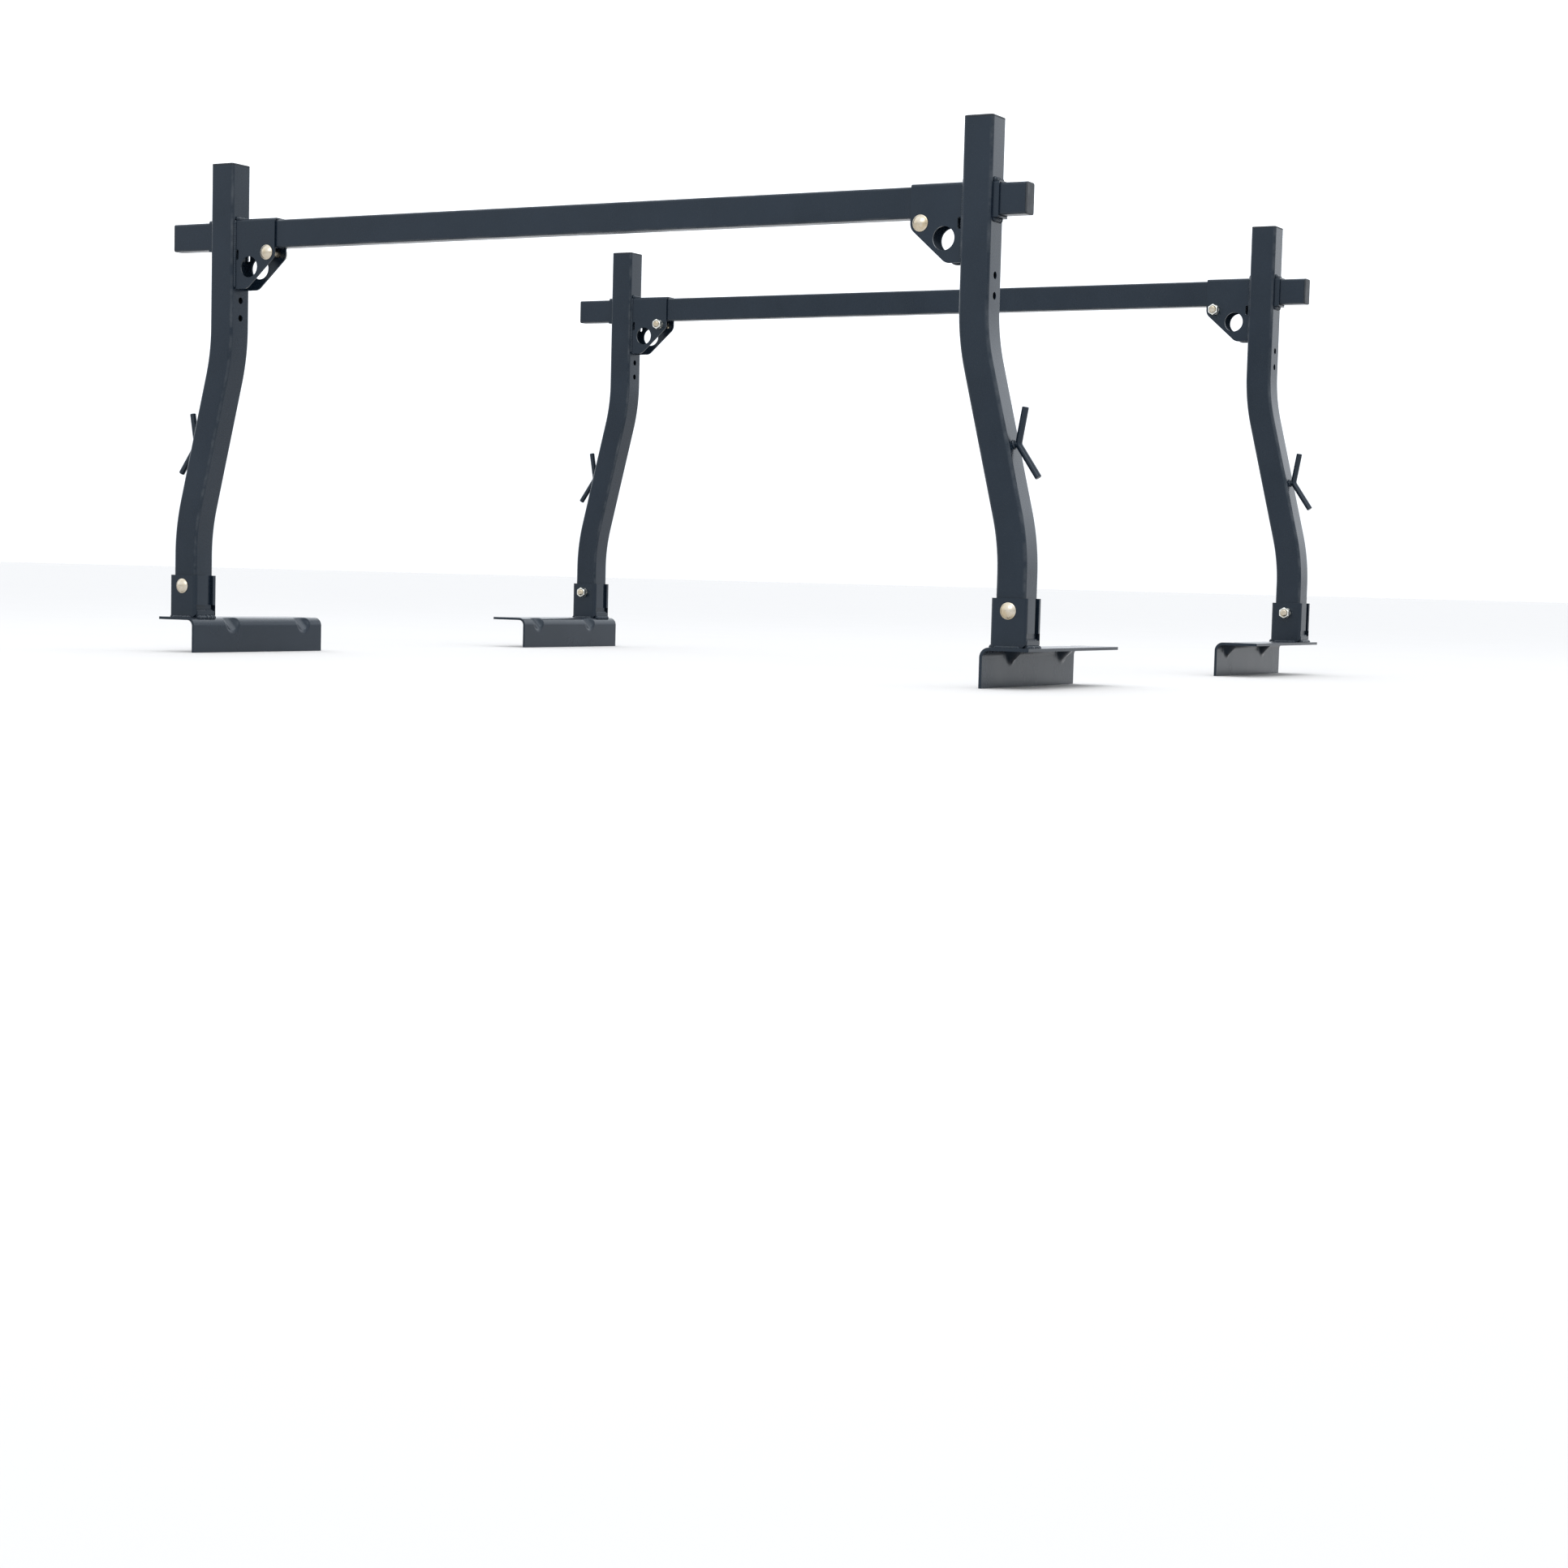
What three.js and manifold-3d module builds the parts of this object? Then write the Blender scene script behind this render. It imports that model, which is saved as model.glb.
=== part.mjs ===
// Ladder rack for a pickup bed: two identical steel frames that stand on the bed rails.
//
// Millimetres, +Z up, +X to the truck's right, +Y towards the cab. The origin is under the middle
// of the rack, on the plane of the base plates' lowest edges. Each frame is a crossbar held by two
// posts that slide along it. The cab-side frame is the tailgate-side frame turned half a turn.

import * as THREE from 'three';
import { mergeVertices } from 'three/addons/utils/BufferGeometryUtils.js';
import Module from 'manifold-3d';

const wasm = await Module();
wasm.setup();

// ---------------------------------------------------------------- driving dimensions

const GAP = 0.3;                    // clearance between pieces that touch
const OVERLAP = 1;                  // how far joined shapes and cutters run past a face

const FRAME_SPACING = 1374;         // between the two crossbars
const POST_SPACING = 1515;          // between the posts of one frame, at the crossbar
const POST_SPLAY = 80;              // how much wider each post stands at its foot
const BAR_LENGTH = 1720;
const REAR_BAR_SHIFT = -20;         // how far each crossbar sits off centre, towards +X
const FRONT_BAR_SHIFT = -14;

const PLATE_TOP = 65;               // height of the rail flange, so also the drop of the bed flange
const BAR_BOTTOM = PLATE_TOP + 675;
const RACK_TOP = BAR_BOTTOM + 155;

const POST_SIZE = 51;                // two-inch square tube
const POST_WALL = 2.5;
const POST_CORNER = 6;
const POST_BEND_RADIUS = 390;
const LOWER_BEND_Z = BAR_BOTTOM - 511;   // where the straight stretches of the post would cross
const UPPER_BEND_Z = BAR_BOTTOM - 189;
const ACCESSORY_HOLES_Z = [BAR_BOTTOM - 92, BAR_BOTTOM - 124];
const ACCESSORY_HOLE_RADIUS = 6;

const BAR_HEIGHT = 50;
const BAR_DEPTH = 28;
const BAR_WALL = 2.5;
const BAR_CORNER = 4;

const CAP_LIP = 3;                  // plugs that close the tubes
const CAP_PLUG = 12;

const SHEET = 3;                    // bar bracket: folded sheet round the bar
const BAR_PLAY = 0.6;
const SLEEVE_OUT = 10;              // how far the sleeve shows past the post's outboard face
const GUSSET_REACH = 91.5;          // from the post's inboard face to the bracket's inner end
const GUSSET_DROP = 72.5;           // below the bar
const GUSSET_CORNER = 18;
const GUSSET_HEEL = 21;             // from the post's inboard face to that corner's centre
const TIE_HOLE = { x: -58, z: -33.3, radius: 19 };
const RELIEF_SLOT = { x: -31, z: -10.5, width: 6, height: 19 };
const CLAMP_BOLT = { x: -99, z: -8.4 };

const PLATE = { thickness: 5, outboard: 43, inboard: 41, bend: 16, behind: 45, ahead: 330 };
const DIMPLES_Y = [65, 275];        // stiffening dimples pressed across the plate's bend
const DIMPLE = { radius: 22, offset: 10, wall: 4 };
const SEAT_HEIGHT = 12;             // welded seat under the post

const SOCKET = { height: 78, wall: 5, play: 0.4, bend: 6, relief: 23, chamfer: 6 };
const SOCKET_FLANGES = { long: 35, short: 12 };   // depth of each half along its two sides
const POST_BOLT_Z = PLATE_TOP + 58;

const BOLT_RADIUS = 6.35;           // half-inch carriage bolts
const BOLT_NECK = 12.7;
const HOLE_PLAY = 0.35;
const DOME = { radius: 13.5, height: 6.5 };
const WASHER = { radius: 10, height: 2.5 };       // small-series, about as wide as the nut
const NUT = { acrossFlats: 19, height: 11 };
const BOLT_END = 4;                 // thread that shows past the nut
const BOLT_CHAMFER = 1.5;

const ROD_RADIUS = 5.5;             // rope cleat: one bent rod on the post's outboard side
const CLEAT = { foot: [31, 332], bend: [-5, 384], tip: [5, 442.5], bendRadius: 12 };

// Steps that each kind of curve is made of.
const TUBE_CORNER_STEPS = 2;
const POST_BEND_STEPS = 4;
const SHEET_BEND_STEPS = 3;
const PLATE_BEND_STEPS = 4;
const ROD_STEPS = 4;
const DOME_STEPS = 3;
const SMALL_ROUND = 12;
const ACCESSORY_ROUND = 8;
const DIMPLE_ROUND = 16;
const TIE_HOLE_ROUND = 20;

// ---------------------------------------------------------------- geometry helpers

function signedVolume(positions, index) {
  const corner = [new THREE.Vector3(), new THREE.Vector3(), new THREE.Vector3()];
  let sum = 0;
  for (let i = 0; i < index.count; i += 3) {
    corner.forEach((v, k) => v.fromBufferAttribute(positions, index.getX(i + k)));
    sum += corner[0].dot(corner[1].cross(corner[2])) / 6;
  }
  return sum;
}

function toSolid(geometry) {
  const bare = geometry.clone();
  bare.deleteAttribute('normal');
  bare.deleteAttribute('uv');
  const merged = mergeVertices(bare, 1e-4);
  const triVerts = new Uint32Array(merged.index.array);
  if (signedVolume(merged.attributes.position, merged.index) < 0) {
    for (let i = 0; i < triVerts.length; i += 3) {
      [triVerts[i], triVerts[i + 1]] = [triVerts[i + 1], triVerts[i]];
    }
  }
  const vertProperties = new Float32Array(merged.attributes.position.array);
  return new wasm.Manifold(new wasm.Mesh({ numProp: 3, vertProperties, triVerts }));
}

function toGeometry(solid) {
  const { vertProperties, triVerts } = solid.getMesh();
  const geometry = new THREE.BufferGeometry();
  geometry.setAttribute('position', new THREE.BufferAttribute(new Float32Array(vertProperties), 3));
  geometry.setIndex(new THREE.BufferAttribute(new Uint32Array(triVerts), 1));
  return geometry;
}

const union = (...geometries) => geometries.map(toSolid).reduce((a, b) => a.add(b));
const cut = (solid, ...tools) => tools.reduce((s, tool) => s.subtract(toSolid(tool)), solid);

function box([x0, x1], [y0, y1], [z0, z1]) {
  return new THREE.BoxGeometry(x1 - x0, y1 - y0, z1 - z0)
    .translate((x0 + x1) / 2, (y0 + y1) / 2, (z0 + z1) / 2);
}

const cylinderAlongY = (x, z, radius, halfLength, sides = SMALL_ROUND) =>
  new THREE.CylinderGeometry(radius, radius, 2 * halfLength, sides).translate(x, 0, z);

function roundedRectangle(width, height, radius) {
  const [w, h] = [width / 2 - radius, height / 2 - radius];
  const shape = new THREE.Shape();
  shape.absarc(w, h, radius, 0, Math.PI / 2);
  shape.absarc(-w, h, radius, Math.PI / 2, Math.PI);
  shape.absarc(-w, -h, radius, Math.PI, 1.5 * Math.PI);
  shape.absarc(w, -h, radius, 1.5 * Math.PI, 2 * Math.PI);
  return shape;
}

function tubeSection(width, height, corner, wall) {
  const section = roundedRectangle(width, height, corner);
  section.holes.push(roundedRectangle(width - 2 * wall, height - 2 * wall, corner - wall));
  return section;
}

// A shape drawn in X and Z, extruded along Y from y0 to y1.
function extrudeAlongY(shape, y0, y1, curveSegments) {
  return new THREE.ExtrudeGeometry(shape, { depth: y1 - y0, bevelEnabled: false, curveSegments })
    .rotateX(Math.PI / 2)
    .translate(0, y1, 0);
}

const extrudeAlongZ = (shape, z0, z1, curveSegments) =>
  new THREE.ExtrudeGeometry(shape, { depth: z1 - z0, bevelEnabled: false, curveSegments })
    .translate(0, 0, z0);

// Stations along a centre line in the XZ plane: straight stretches with a round bend at each
// inner point. The lean is the angle from +Z towards -X.
function bentLine(points, bendRadius, bendSteps) {
  const lean = (a, b) => Math.atan2(a[0] - b[0], b[1] - a[1]);
  const stations = [{ x: points[0][0], z: points[0][1], lean: lean(points[0], points[1]) }];
  for (let i = 1; i < points.length - 1; i += 1) {
    const before = lean(points[i - 1], points[i]);
    const after = lean(points[i], points[i + 1]);
    const turn = after - before;
    const tangent = bendRadius * Math.tan(Math.abs(turn) / 2);
    const side = Math.sign(turn);
    const startX = points[i][0] + tangent * Math.sin(before);
    const startZ = points[i][1] - tangent * Math.cos(before);
    const centreX = startX - side * bendRadius * Math.cos(before);
    const centreZ = startZ - side * bendRadius * Math.sin(before);
    for (let k = 0; k <= bendSteps; k += 1) {
      const angle = before + turn * k / bendSteps;
      stations.push({
        x: centreX + side * bendRadius * Math.cos(angle),
        z: centreZ + side * bendRadius * Math.sin(angle),
        lean: angle,
      });
    }
  }
  const [last, end] = points.slice(-2);
  stations.push({ x: end[0], z: end[1], lean: lean(last, end) });
  return stations;
}

// Extrudes a section with one layer per station, then moves each layer to its station.
function sweep(section, stations, curveSegments) {
  const steps = stations.length - 1;
  const geometry = new THREE.ExtrudeGeometry(section,
    { depth: 1, steps, bevelEnabled: false, curveSegments });
  const position = geometry.attributes.position;
  for (let i = 0; i < position.count; i += 1) {
    const { x, z, lean } = stations[Math.round(position.getZ(i) * steps)];
    const across = position.getX(i);
    position.setXYZ(i, x + across * Math.cos(lean), position.getY(i), z + across * Math.sin(lean));
  }
  return geometry;
}

// ---------------------------------------------------------------- materials

const finish = (color, roughness, metalness) =>
  () => new THREE.MeshStandardMaterial({ color, roughness, metalness });
const blackSteel = finish(0x30373f, 0.45, 0.2);
const blackPlastic = finish(0x1d1f22, 0.6, 0);
const zincYellow = finish(0xcdb777, 0.35, 0.9);

// ---------------------------------------------------------------- pieces of one corner
//
// Each piece is drawn for the rear right corner: +X is outboard, +Y points to the other frame and
// the post's foot stands at X = 0, Y = 0.

const TOP_X = -POST_SPLAY;
const FOOT_Z = PLATE_TOP + SEAT_HEIGHT + GAP;
const HALF_POST = POST_SIZE / 2;
const SLEEVE_Y = BAR_DEPTH / 2 + BAR_PLAY + SHEET;
const SLEEVE_TOP = BAR_BOTTOM + BAR_HEIGHT + BAR_PLAY + SHEET;
const SLEEVE_BOTTOM = BAR_BOTTOM - BAR_PLAY - SHEET;
const SOCKET_OUT = HALF_POST + SOCKET.play + SOCKET.wall;
const AT_FOOT = [0, 0, 0];
const ONE_HAND = true;              // the same part at every corner, so it isn't mirrored

function post() {
  const line = bentLine([[0, FOOT_Z], [0, LOWER_BEND_Z], [TOP_X, UPPER_BEND_Z],
    [TOP_X, RACK_TOP - CAP_LIP - GAP]], POST_BEND_RADIUS, POST_BEND_STEPS);
  const section = tubeSection(POST_SIZE, POST_SIZE, POST_CORNER, POST_WALL);
  const tube = sweep(section, line, TUBE_CORNER_STEPS);
  const window = box([TOP_X - POST_SIZE, TOP_X + POST_SIZE], [-SLEEVE_Y - GAP, SLEEVE_Y + GAP],
    [SLEEVE_BOTTOM - GAP, SLEEVE_TOP + GAP]);
  const accessoryHoles = ACCESSORY_HOLES_Z.map((z) =>
    new THREE.CylinderGeometry(ACCESSORY_HOLE_RADIUS, ACCESSORY_HOLE_RADIUS, 2 * POST_SIZE,
      ACCESSORY_ROUND)
      .rotateZ(Math.PI / 2)
      .translate(TOP_X, 0, z));
  const boltHole = cylinderAlongY(0, POST_BOLT_Z, BOLT_RADIUS + HOLE_PLAY, POST_SIZE);
  return cut(toSolid(tube), window, ...accessoryHoles, boltHole);
}

function tubePlug(width, height, corner, wall) {
  const inset = 2 * (wall + GAP);
  const lip = extrudeAlongZ(roundedRectangle(width, height, corner), 0, CAP_LIP,
    TUBE_CORNER_STEPS);
  const plug = extrudeAlongZ(
    roundedRectangle(width - inset, height - inset, corner - wall), -CAP_PLUG, CAP_LIP / 2, 1);
  return union(lip, plug);
}

function barBracket() {
  const innerEnd = TOP_X - HALF_POST - GUSSET_REACH;
  const postFace = TOP_X - HALF_POST - GAP;
  const outerEnd = TOP_X + HALF_POST + SLEEVE_OUT;
  const clamp = [TOP_X + CLAMP_BOLT.x, BAR_BOTTOM + CLAMP_BOLT.z];
  const heel = [postFace - GUSSET_HEEL, BAR_BOTTOM - GUSSET_DROP + GUSSET_CORNER];
  const edge = Math.atan2(clamp[1] - heel[1], clamp[0] - heel[0]) + Math.PI / 2;

  const outline = new THREE.Shape();
  outline.moveTo(outerEnd, SLEEVE_BOTTOM);
  outline.lineTo(outerEnd, SLEEVE_TOP);
  outline.lineTo(innerEnd, SLEEVE_TOP);
  outline.absarc(...clamp, clamp[0] - innerEnd, Math.PI, edge + 2 * Math.PI, false);
  outline.absarc(...heel, GUSSET_CORNER, edge, 1.5 * Math.PI, false);
  outline.lineTo(postFace, BAR_BOTTOM - GUSSET_DROP);
  outline.lineTo(postFace, SLEEVE_BOTTOM);
  const cheek = (y0) => extrudeAlongY(outline, y0, y0 + SHEET, SHEET_BEND_STEPS);

  const roof = box([innerEnd, outerEnd], [-SLEEVE_Y, SLEEVE_Y], [SLEEVE_TOP - SHEET, SLEEVE_TOP]);
  const floor = box([postFace, outerEnd], [-SLEEVE_Y, SLEEVE_Y],
    [SLEEVE_BOTTOM, SLEEVE_BOTTOM + SHEET]);
  const tieHole = cylinderAlongY(TOP_X + TIE_HOLE.x, BAR_BOTTOM + TIE_HOLE.z, TIE_HOLE.radius,
    POST_SIZE, TIE_HOLE_ROUND);
  const slotX = TOP_X + RELIEF_SLOT.x;
  const slotZ = BAR_BOTTOM + RELIEF_SLOT.z;
  const slot = box([slotX - RELIEF_SLOT.width / 2, slotX + RELIEF_SLOT.width / 2],
    [-POST_SIZE, POST_SIZE], [slotZ - RELIEF_SLOT.height / 2, slotZ + RELIEF_SLOT.height / 2]);
  return cut(union(cheek(-SLEEVE_Y), cheek(SLEEVE_Y - SHEET), roof, floor), tieHole, slot,
    ...boltHoles(clamp[0], clamp[1], SLEEVE_Y, SHEET));
}

// A square hole for the bolt's neck on the head's side and a round one on the nut's side.
function boltHoles(x, z, halfGrip, wall) {
  const half = BOLT_NECK / 2 + HOLE_PLAY;
  return [
    box([x - half, x + half], [-halfGrip - OVERLAP, -halfGrip + wall + OVERLAP],
      [z - half, z + half]),
    cylinderAlongY(x, z, BOLT_RADIUS + HOLE_PLAY, wall).translate(0, halfGrip - wall / 2, 0),
  ];
}

function ropeCleat() {
  const section = new THREE.Shape().absarc(0, 0, ROD_RADIUS, 0, 2 * Math.PI);
  const line = bentLine([CLEAT.foot, CLEAT.bend, CLEAT.tip], CLEAT.bendRadius, SHEET_BEND_STEPS);
  const slope = Math.atan(POST_SPLAY / (UPPER_BEND_Z - LOWER_BEND_Z));
  const faceX = (HALF_POST + GAP) / Math.cos(slope)
    - Math.tan(slope) * (CLEAT.bend[1] - LOWER_BEND_Z);
  const stub = sweep(section, [
    { x: faceX, z: CLEAT.bend[1], lean: slope - Math.PI / 2 },
    { x: CLEAT.bend[0], z: CLEAT.bend[1], lean: -Math.PI / 2 },
  ], ROD_STEPS);
  return union(sweep(section, line, ROD_STEPS), stub);
}

function basePlate() {
  const { thickness, outboard, inboard, bend, behind, ahead } = PLATE;
  const centre = [bend - inboard, PLATE_TOP - bend];
  const underside = PLATE_TOP - thickness;

  const outer = new THREE.Shape();
  outer.moveTo(outboard, underside);
  outer.lineTo(outboard, PLATE_TOP);
  outer.absarc(...centre, bend, Math.PI / 2, Math.PI, false);
  outer.lineTo(-inboard, 0);
  const angle = outer.clone();
  angle.lineTo(thickness - inboard, 0);
  angle.absarc(...centre, bend - thickness, Math.PI, Math.PI / 2, true);
  const filled = outer.clone();
  filled.lineTo(outboard, 0);

  // A dimple is a round groove that slants across the bend, with its wall pushed through inside.
  const reach = (bend / Math.SQRT2) + DIMPLE.offset / Math.SQRT2;
  const slanted = (y, radius) =>
    new THREE.CylinderGeometry(radius, radius, 4 * DIMPLE.radius, DIMPLE_ROUND)
      .rotateZ(-Math.PI / 4)
      .rotateX(Math.PI / 2)
      .translate(centre[0] - reach, y, centre[1] + reach);
  const wallRadius = DIMPLE.radius + DIMPLE.wall;
  const inside = toSolid(extrudeAlongY(filled, -behind, ahead, PLATE_BEND_STEPS));
  const bulges = DIMPLES_Y.map((y) => toSolid(slanted(y, wallRadius)).intersect(inside));
  const seat = box([-SOCKET_OUT, SOCKET_OUT], [-HALF_POST + SOCKET.play, HALF_POST - SOCKET.play],
    [underside + OVERLAP, PLATE_TOP + SEAT_HEIGHT]);
  const plate = bulges.reduce((solid, bulge) => solid.add(bulge),
    union(extrudeAlongY(angle, -behind, ahead, PLATE_BEND_STEPS), seat));
  return cut(plate, ...DIMPLES_Y.map((y) => slanted(y, DIMPLE.radius)));
}

// One folded channel: its web faces -Y, with a long flange on its +X side and a short one on its
// -X side. Two of the same half, turned half a turn from each other, close round the post.
function socketHalf(holes) {
  const { wall, bend, height, relief, chamfer } = SOCKET;
  const [out, inner] = [SOCKET_OUT, SOCKET_OUT - wall];
  const [longTip, shortTip] = [SOCKET_FLANGES.long - out, SOCKET_FLANGES.short - out];
  const channel = new THREE.Shape();
  channel.moveTo(out, longTip);
  channel.lineTo(inner, longTip);
  channel.lineTo(inner, -inner);
  channel.lineTo(-inner, -inner);
  channel.lineTo(-inner, shortTip);
  channel.lineTo(-out, shortTip);
  channel.absarc(bend - out, bend - out, bend, Math.PI, 1.5 * Math.PI, false);
  channel.absarc(out - bend, bend - out, bend, 1.5 * Math.PI, 2 * Math.PI, false);
  const bottom = PLATE_TOP + GAP;
  const body = toSolid(extrudeAlongZ(channel, bottom, PLATE_TOP + height, SHEET_BEND_STEPS));
  const relieved = box([-out - OVERLAP, out + OVERLAP], [-inner, out],
    [bottom - OVERLAP, PLATE_TOP + relief]);
  const chamfers = [-1, 1].map((side) => new THREE.BoxGeometry(chamfer, 4 * out, chamfer)
    .scale(Math.SQRT2, 1, Math.SQRT2)
    .rotateY(Math.PI / 4)
    .translate(side * out, 0, bottom));
  return cut(body, relieved, ...chamfers, holes);
}

// A carriage bolt along Y: the dome's underside lies at y = 0 and the shank runs to +Y.
function carriageBolt(length, neckLength) {
  const points = [];
  const ballRadius = (DOME.radius ** 2 + DOME.height ** 2) / (2 * DOME.height);
  const sweepAngle = Math.asin(DOME.radius / ballRadius);
  for (let k = 0; k <= DOME_STEPS; k += 1) {
    const angle = sweepAngle * k / DOME_STEPS;
    points.push(new THREE.Vector2(ballRadius * Math.sin(angle),
      ballRadius * (1 - Math.cos(angle)) - DOME.height));
  }
  points.push(new THREE.Vector2(BOLT_RADIUS, 0),
    new THREE.Vector2(BOLT_RADIUS, length - BOLT_CHAMFER),
    new THREE.Vector2(BOLT_RADIUS - BOLT_CHAMFER, length), new THREE.Vector2(0, length));
  const half = BOLT_NECK / 2;
  return union(new THREE.LatheGeometry(points, SMALL_ROUND),
    box([-half, half], [-OVERLAP, neckLength], [-half, half]));
}

function washer() {
  const bore = BOLT_RADIUS + HOLE_PLAY;
  const profile = [[bore, 0], [WASHER.radius, 0], [WASHER.radius, WASHER.height],
    [bore, WASHER.height], [bore, 0]];
  const points = profile.map(([x, y]) => new THREE.Vector2(x, y));
  return toSolid(new THREE.LatheGeometry(points, SMALL_ROUND));
}

function nut() {
  const corner = NUT.acrossFlats / Math.sqrt(3);
  const hexagon = new THREE.Shape([0, 1, 2, 3, 4, 5].map((k) =>
    new THREE.Vector2(corner * Math.cos(k * Math.PI / 3), corner * Math.sin(k * Math.PI / 3))));
  hexagon.holes.push(new THREE.Path().absarc(0, 0, BOLT_RADIUS + HOLE_PLAY, 0, 2 * Math.PI, true));
  return toSolid(extrudeAlongY(hexagon, 0, NUT.height, SMALL_ROUND / 2));
}

// Bolt, washer and nut through a stack that reaches from -halfGrip to +halfGrip along Y.
function fastener(name, x, z, halfGrip, neckLength) {
  const washerY = halfGrip + GAP;
  const nutY = washerY + WASHER.height + GAP;
  const length = halfGrip + GAP + nutY + NUT.height + BOLT_END;
  return [
    [`${name}_bolt`, carriageBolt(length, neckLength), zincYellow, [x, -halfGrip - GAP, z]],
    [`${name}_washer`, washer(), zincYellow, [x, washerY, z]],
    [`${name}_nut`, nut(), zincYellow, [x, nutY, z]],
  ];
}

function cornerPieces() {
  const holes = boltHoles(0, POST_BOLT_Z, SOCKET_OUT, SOCKET.wall);
  const innerHalf = toGeometry(socketHalf(holes[1].clone().rotateZ(Math.PI))).rotateZ(Math.PI);
  return [
    ['post', post(), blackSteel],
    ['post_cap', tubePlug(POST_SIZE, POST_SIZE, POST_CORNER, POST_WALL), blackPlastic,
      [TOP_X, 0, RACK_TOP - CAP_LIP]],
    ['bar_bracket', barBracket(), blackSteel],
    ['rope_cleat', ropeCleat(), blackSteel],
    ['base_plate', basePlate(), blackSteel],
    ['socket_outer_half', socketHalf(holes[0]), blackSteel, AT_FOOT, ONE_HAND],
    ['socket_inner_half', toSolid(innerHalf), blackSteel, AT_FOOT, ONE_HAND],
    ...fastener('post', 0, POST_BOLT_Z, SOCKET_OUT, SOCKET.wall),
    ...fastener('clamp', TOP_X + CLAMP_BOLT.x, BAR_BOTTOM + CLAMP_BOLT.z, SLEEVE_Y, SHEET),
  ];
}

// ---------------------------------------------------------------- the rack

function mirrored(geometry) {
  return toGeometry(toSolid(geometry.clone().scale(-1, 1, 1)));
}

function piece(name, geometry, material, [x, y, z] = AT_FOOT) {
  const mesh = new THREE.Mesh(geometry, material());
  mesh.name = name;
  mesh.position.set(x, y, z);
  return mesh;
}

function crossbar(name, shift) {
  const half = BAR_LENGTH / 2;
  const group = new THREE.Group();
  group.position.set(shift, 0, BAR_BOTTOM + BAR_HEIGHT / 2);
  const alongX = (geometry) => geometry.rotateY(Math.PI / 2);
  const tube = alongX(extrudeAlongZ(tubeSection(BAR_HEIGHT, BAR_DEPTH, BAR_CORNER, BAR_WALL),
    CAP_LIP + GAP - half, half - CAP_LIP - GAP, TUBE_CORNER_STEPS));
  group.add(piece(`${name}_crossbar`, toGeometry(toSolid(tube)), blackSteel));
  const plug = alongX(toGeometry(tubePlug(BAR_HEIGHT, BAR_DEPTH, BAR_CORNER, BAR_WALL)));
  group.add(piece(`${name}_crossbar_right_cap`, plug, blackPlastic, [half - CAP_LIP, 0, 0]));
  group.add(piece(`${name}_crossbar_left_cap`, mirrored(plug), blackPlastic,
    [CAP_LIP - half, 0, 0]));
  return group;
}

// The frame as the rear one stands. A turned frame has its right and left names swapped.
function frame(name, barShift, corners, turned) {
  const group = new THREE.Group();
  const footX = POST_SPACING / 2 + POST_SPLAY;
  for (const side of [1, -1]) {
    const sideName = (side > 0) !== turned ? 'right' : 'left';
    const corner = new THREE.Group();
    corner.position.x = side * footX;
    for (const [pieceName, geometry, material, [x, y, z] = AT_FOOT, oneHand = false] of corners) {
      const shape = side > 0 || oneHand ? geometry : mirrored(geometry);
      corner.add(piece(`${name}_${sideName}_${pieceName}`, shape, material, [side * x, y, z]));
    }
    group.add(corner);
  }
  const bar = crossbar(name, turned ? -barShift : barShift);
  if (turned) {
    bar.rotation.z = Math.PI;
  }
  group.add(bar);
  group.rotation.z = turned ? Math.PI : 0;
  group.position.y = (turned ? 1 : -1) * FRAME_SPACING / 2;
  return group;
}

const corners = cornerPieces().map(([name, solid, ...rest]) => [name, toGeometry(solid), ...rest]);
const rack = new THREE.Group();
rack.add(frame('rear', REAR_BAR_SHIFT, corners, false));
rack.add(frame('front', FRONT_BAR_SHIFT, corners, true));

export default rack;
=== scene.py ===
"""Looks of the ladder rack: detailed pieces, welds, fasteners and finishes on the CAD frame.

A corner's shapes are drawn in millimetres for the rear right corner, where +X is outboard, +Y
points to the other frame and the foot of the post stands at x = 0, y = 0. Every corner gets a copy.
"""

import math
import random

import bmesh
import bpy
from mathutils import Matrix, Vector


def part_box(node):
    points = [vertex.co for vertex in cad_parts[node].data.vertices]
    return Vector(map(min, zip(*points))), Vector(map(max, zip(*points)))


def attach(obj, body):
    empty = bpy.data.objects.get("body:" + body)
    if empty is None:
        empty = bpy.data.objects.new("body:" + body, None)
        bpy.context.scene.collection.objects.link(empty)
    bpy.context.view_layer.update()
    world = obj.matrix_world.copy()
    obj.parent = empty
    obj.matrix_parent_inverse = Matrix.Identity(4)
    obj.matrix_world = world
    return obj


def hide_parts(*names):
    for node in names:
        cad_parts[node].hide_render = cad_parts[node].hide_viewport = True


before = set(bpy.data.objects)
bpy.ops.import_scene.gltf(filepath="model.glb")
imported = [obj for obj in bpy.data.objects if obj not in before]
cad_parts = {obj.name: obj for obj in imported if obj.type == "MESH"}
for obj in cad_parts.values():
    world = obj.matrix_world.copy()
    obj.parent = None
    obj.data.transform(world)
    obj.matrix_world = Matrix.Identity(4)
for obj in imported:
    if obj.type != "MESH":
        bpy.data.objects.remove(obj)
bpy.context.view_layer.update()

MM = 0.001
CORNERS = [(end, side) for end in ("rear", "front") for side in ("right", "left")]

# ---------------------------------------------------------------- sizes, in millimetres


def span(node, axis):
    """Lowest and highest coordinate of a CAD node along an axis, 0 to 2."""
    low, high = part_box(node)
    return low[axis] / MM, high[axis] / MM


FOOT_X = sum(span("rear_right_post_bolt", 0)) / 2
FRAME_Y = sum(span("rear_right_post", 1)) / 2


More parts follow.
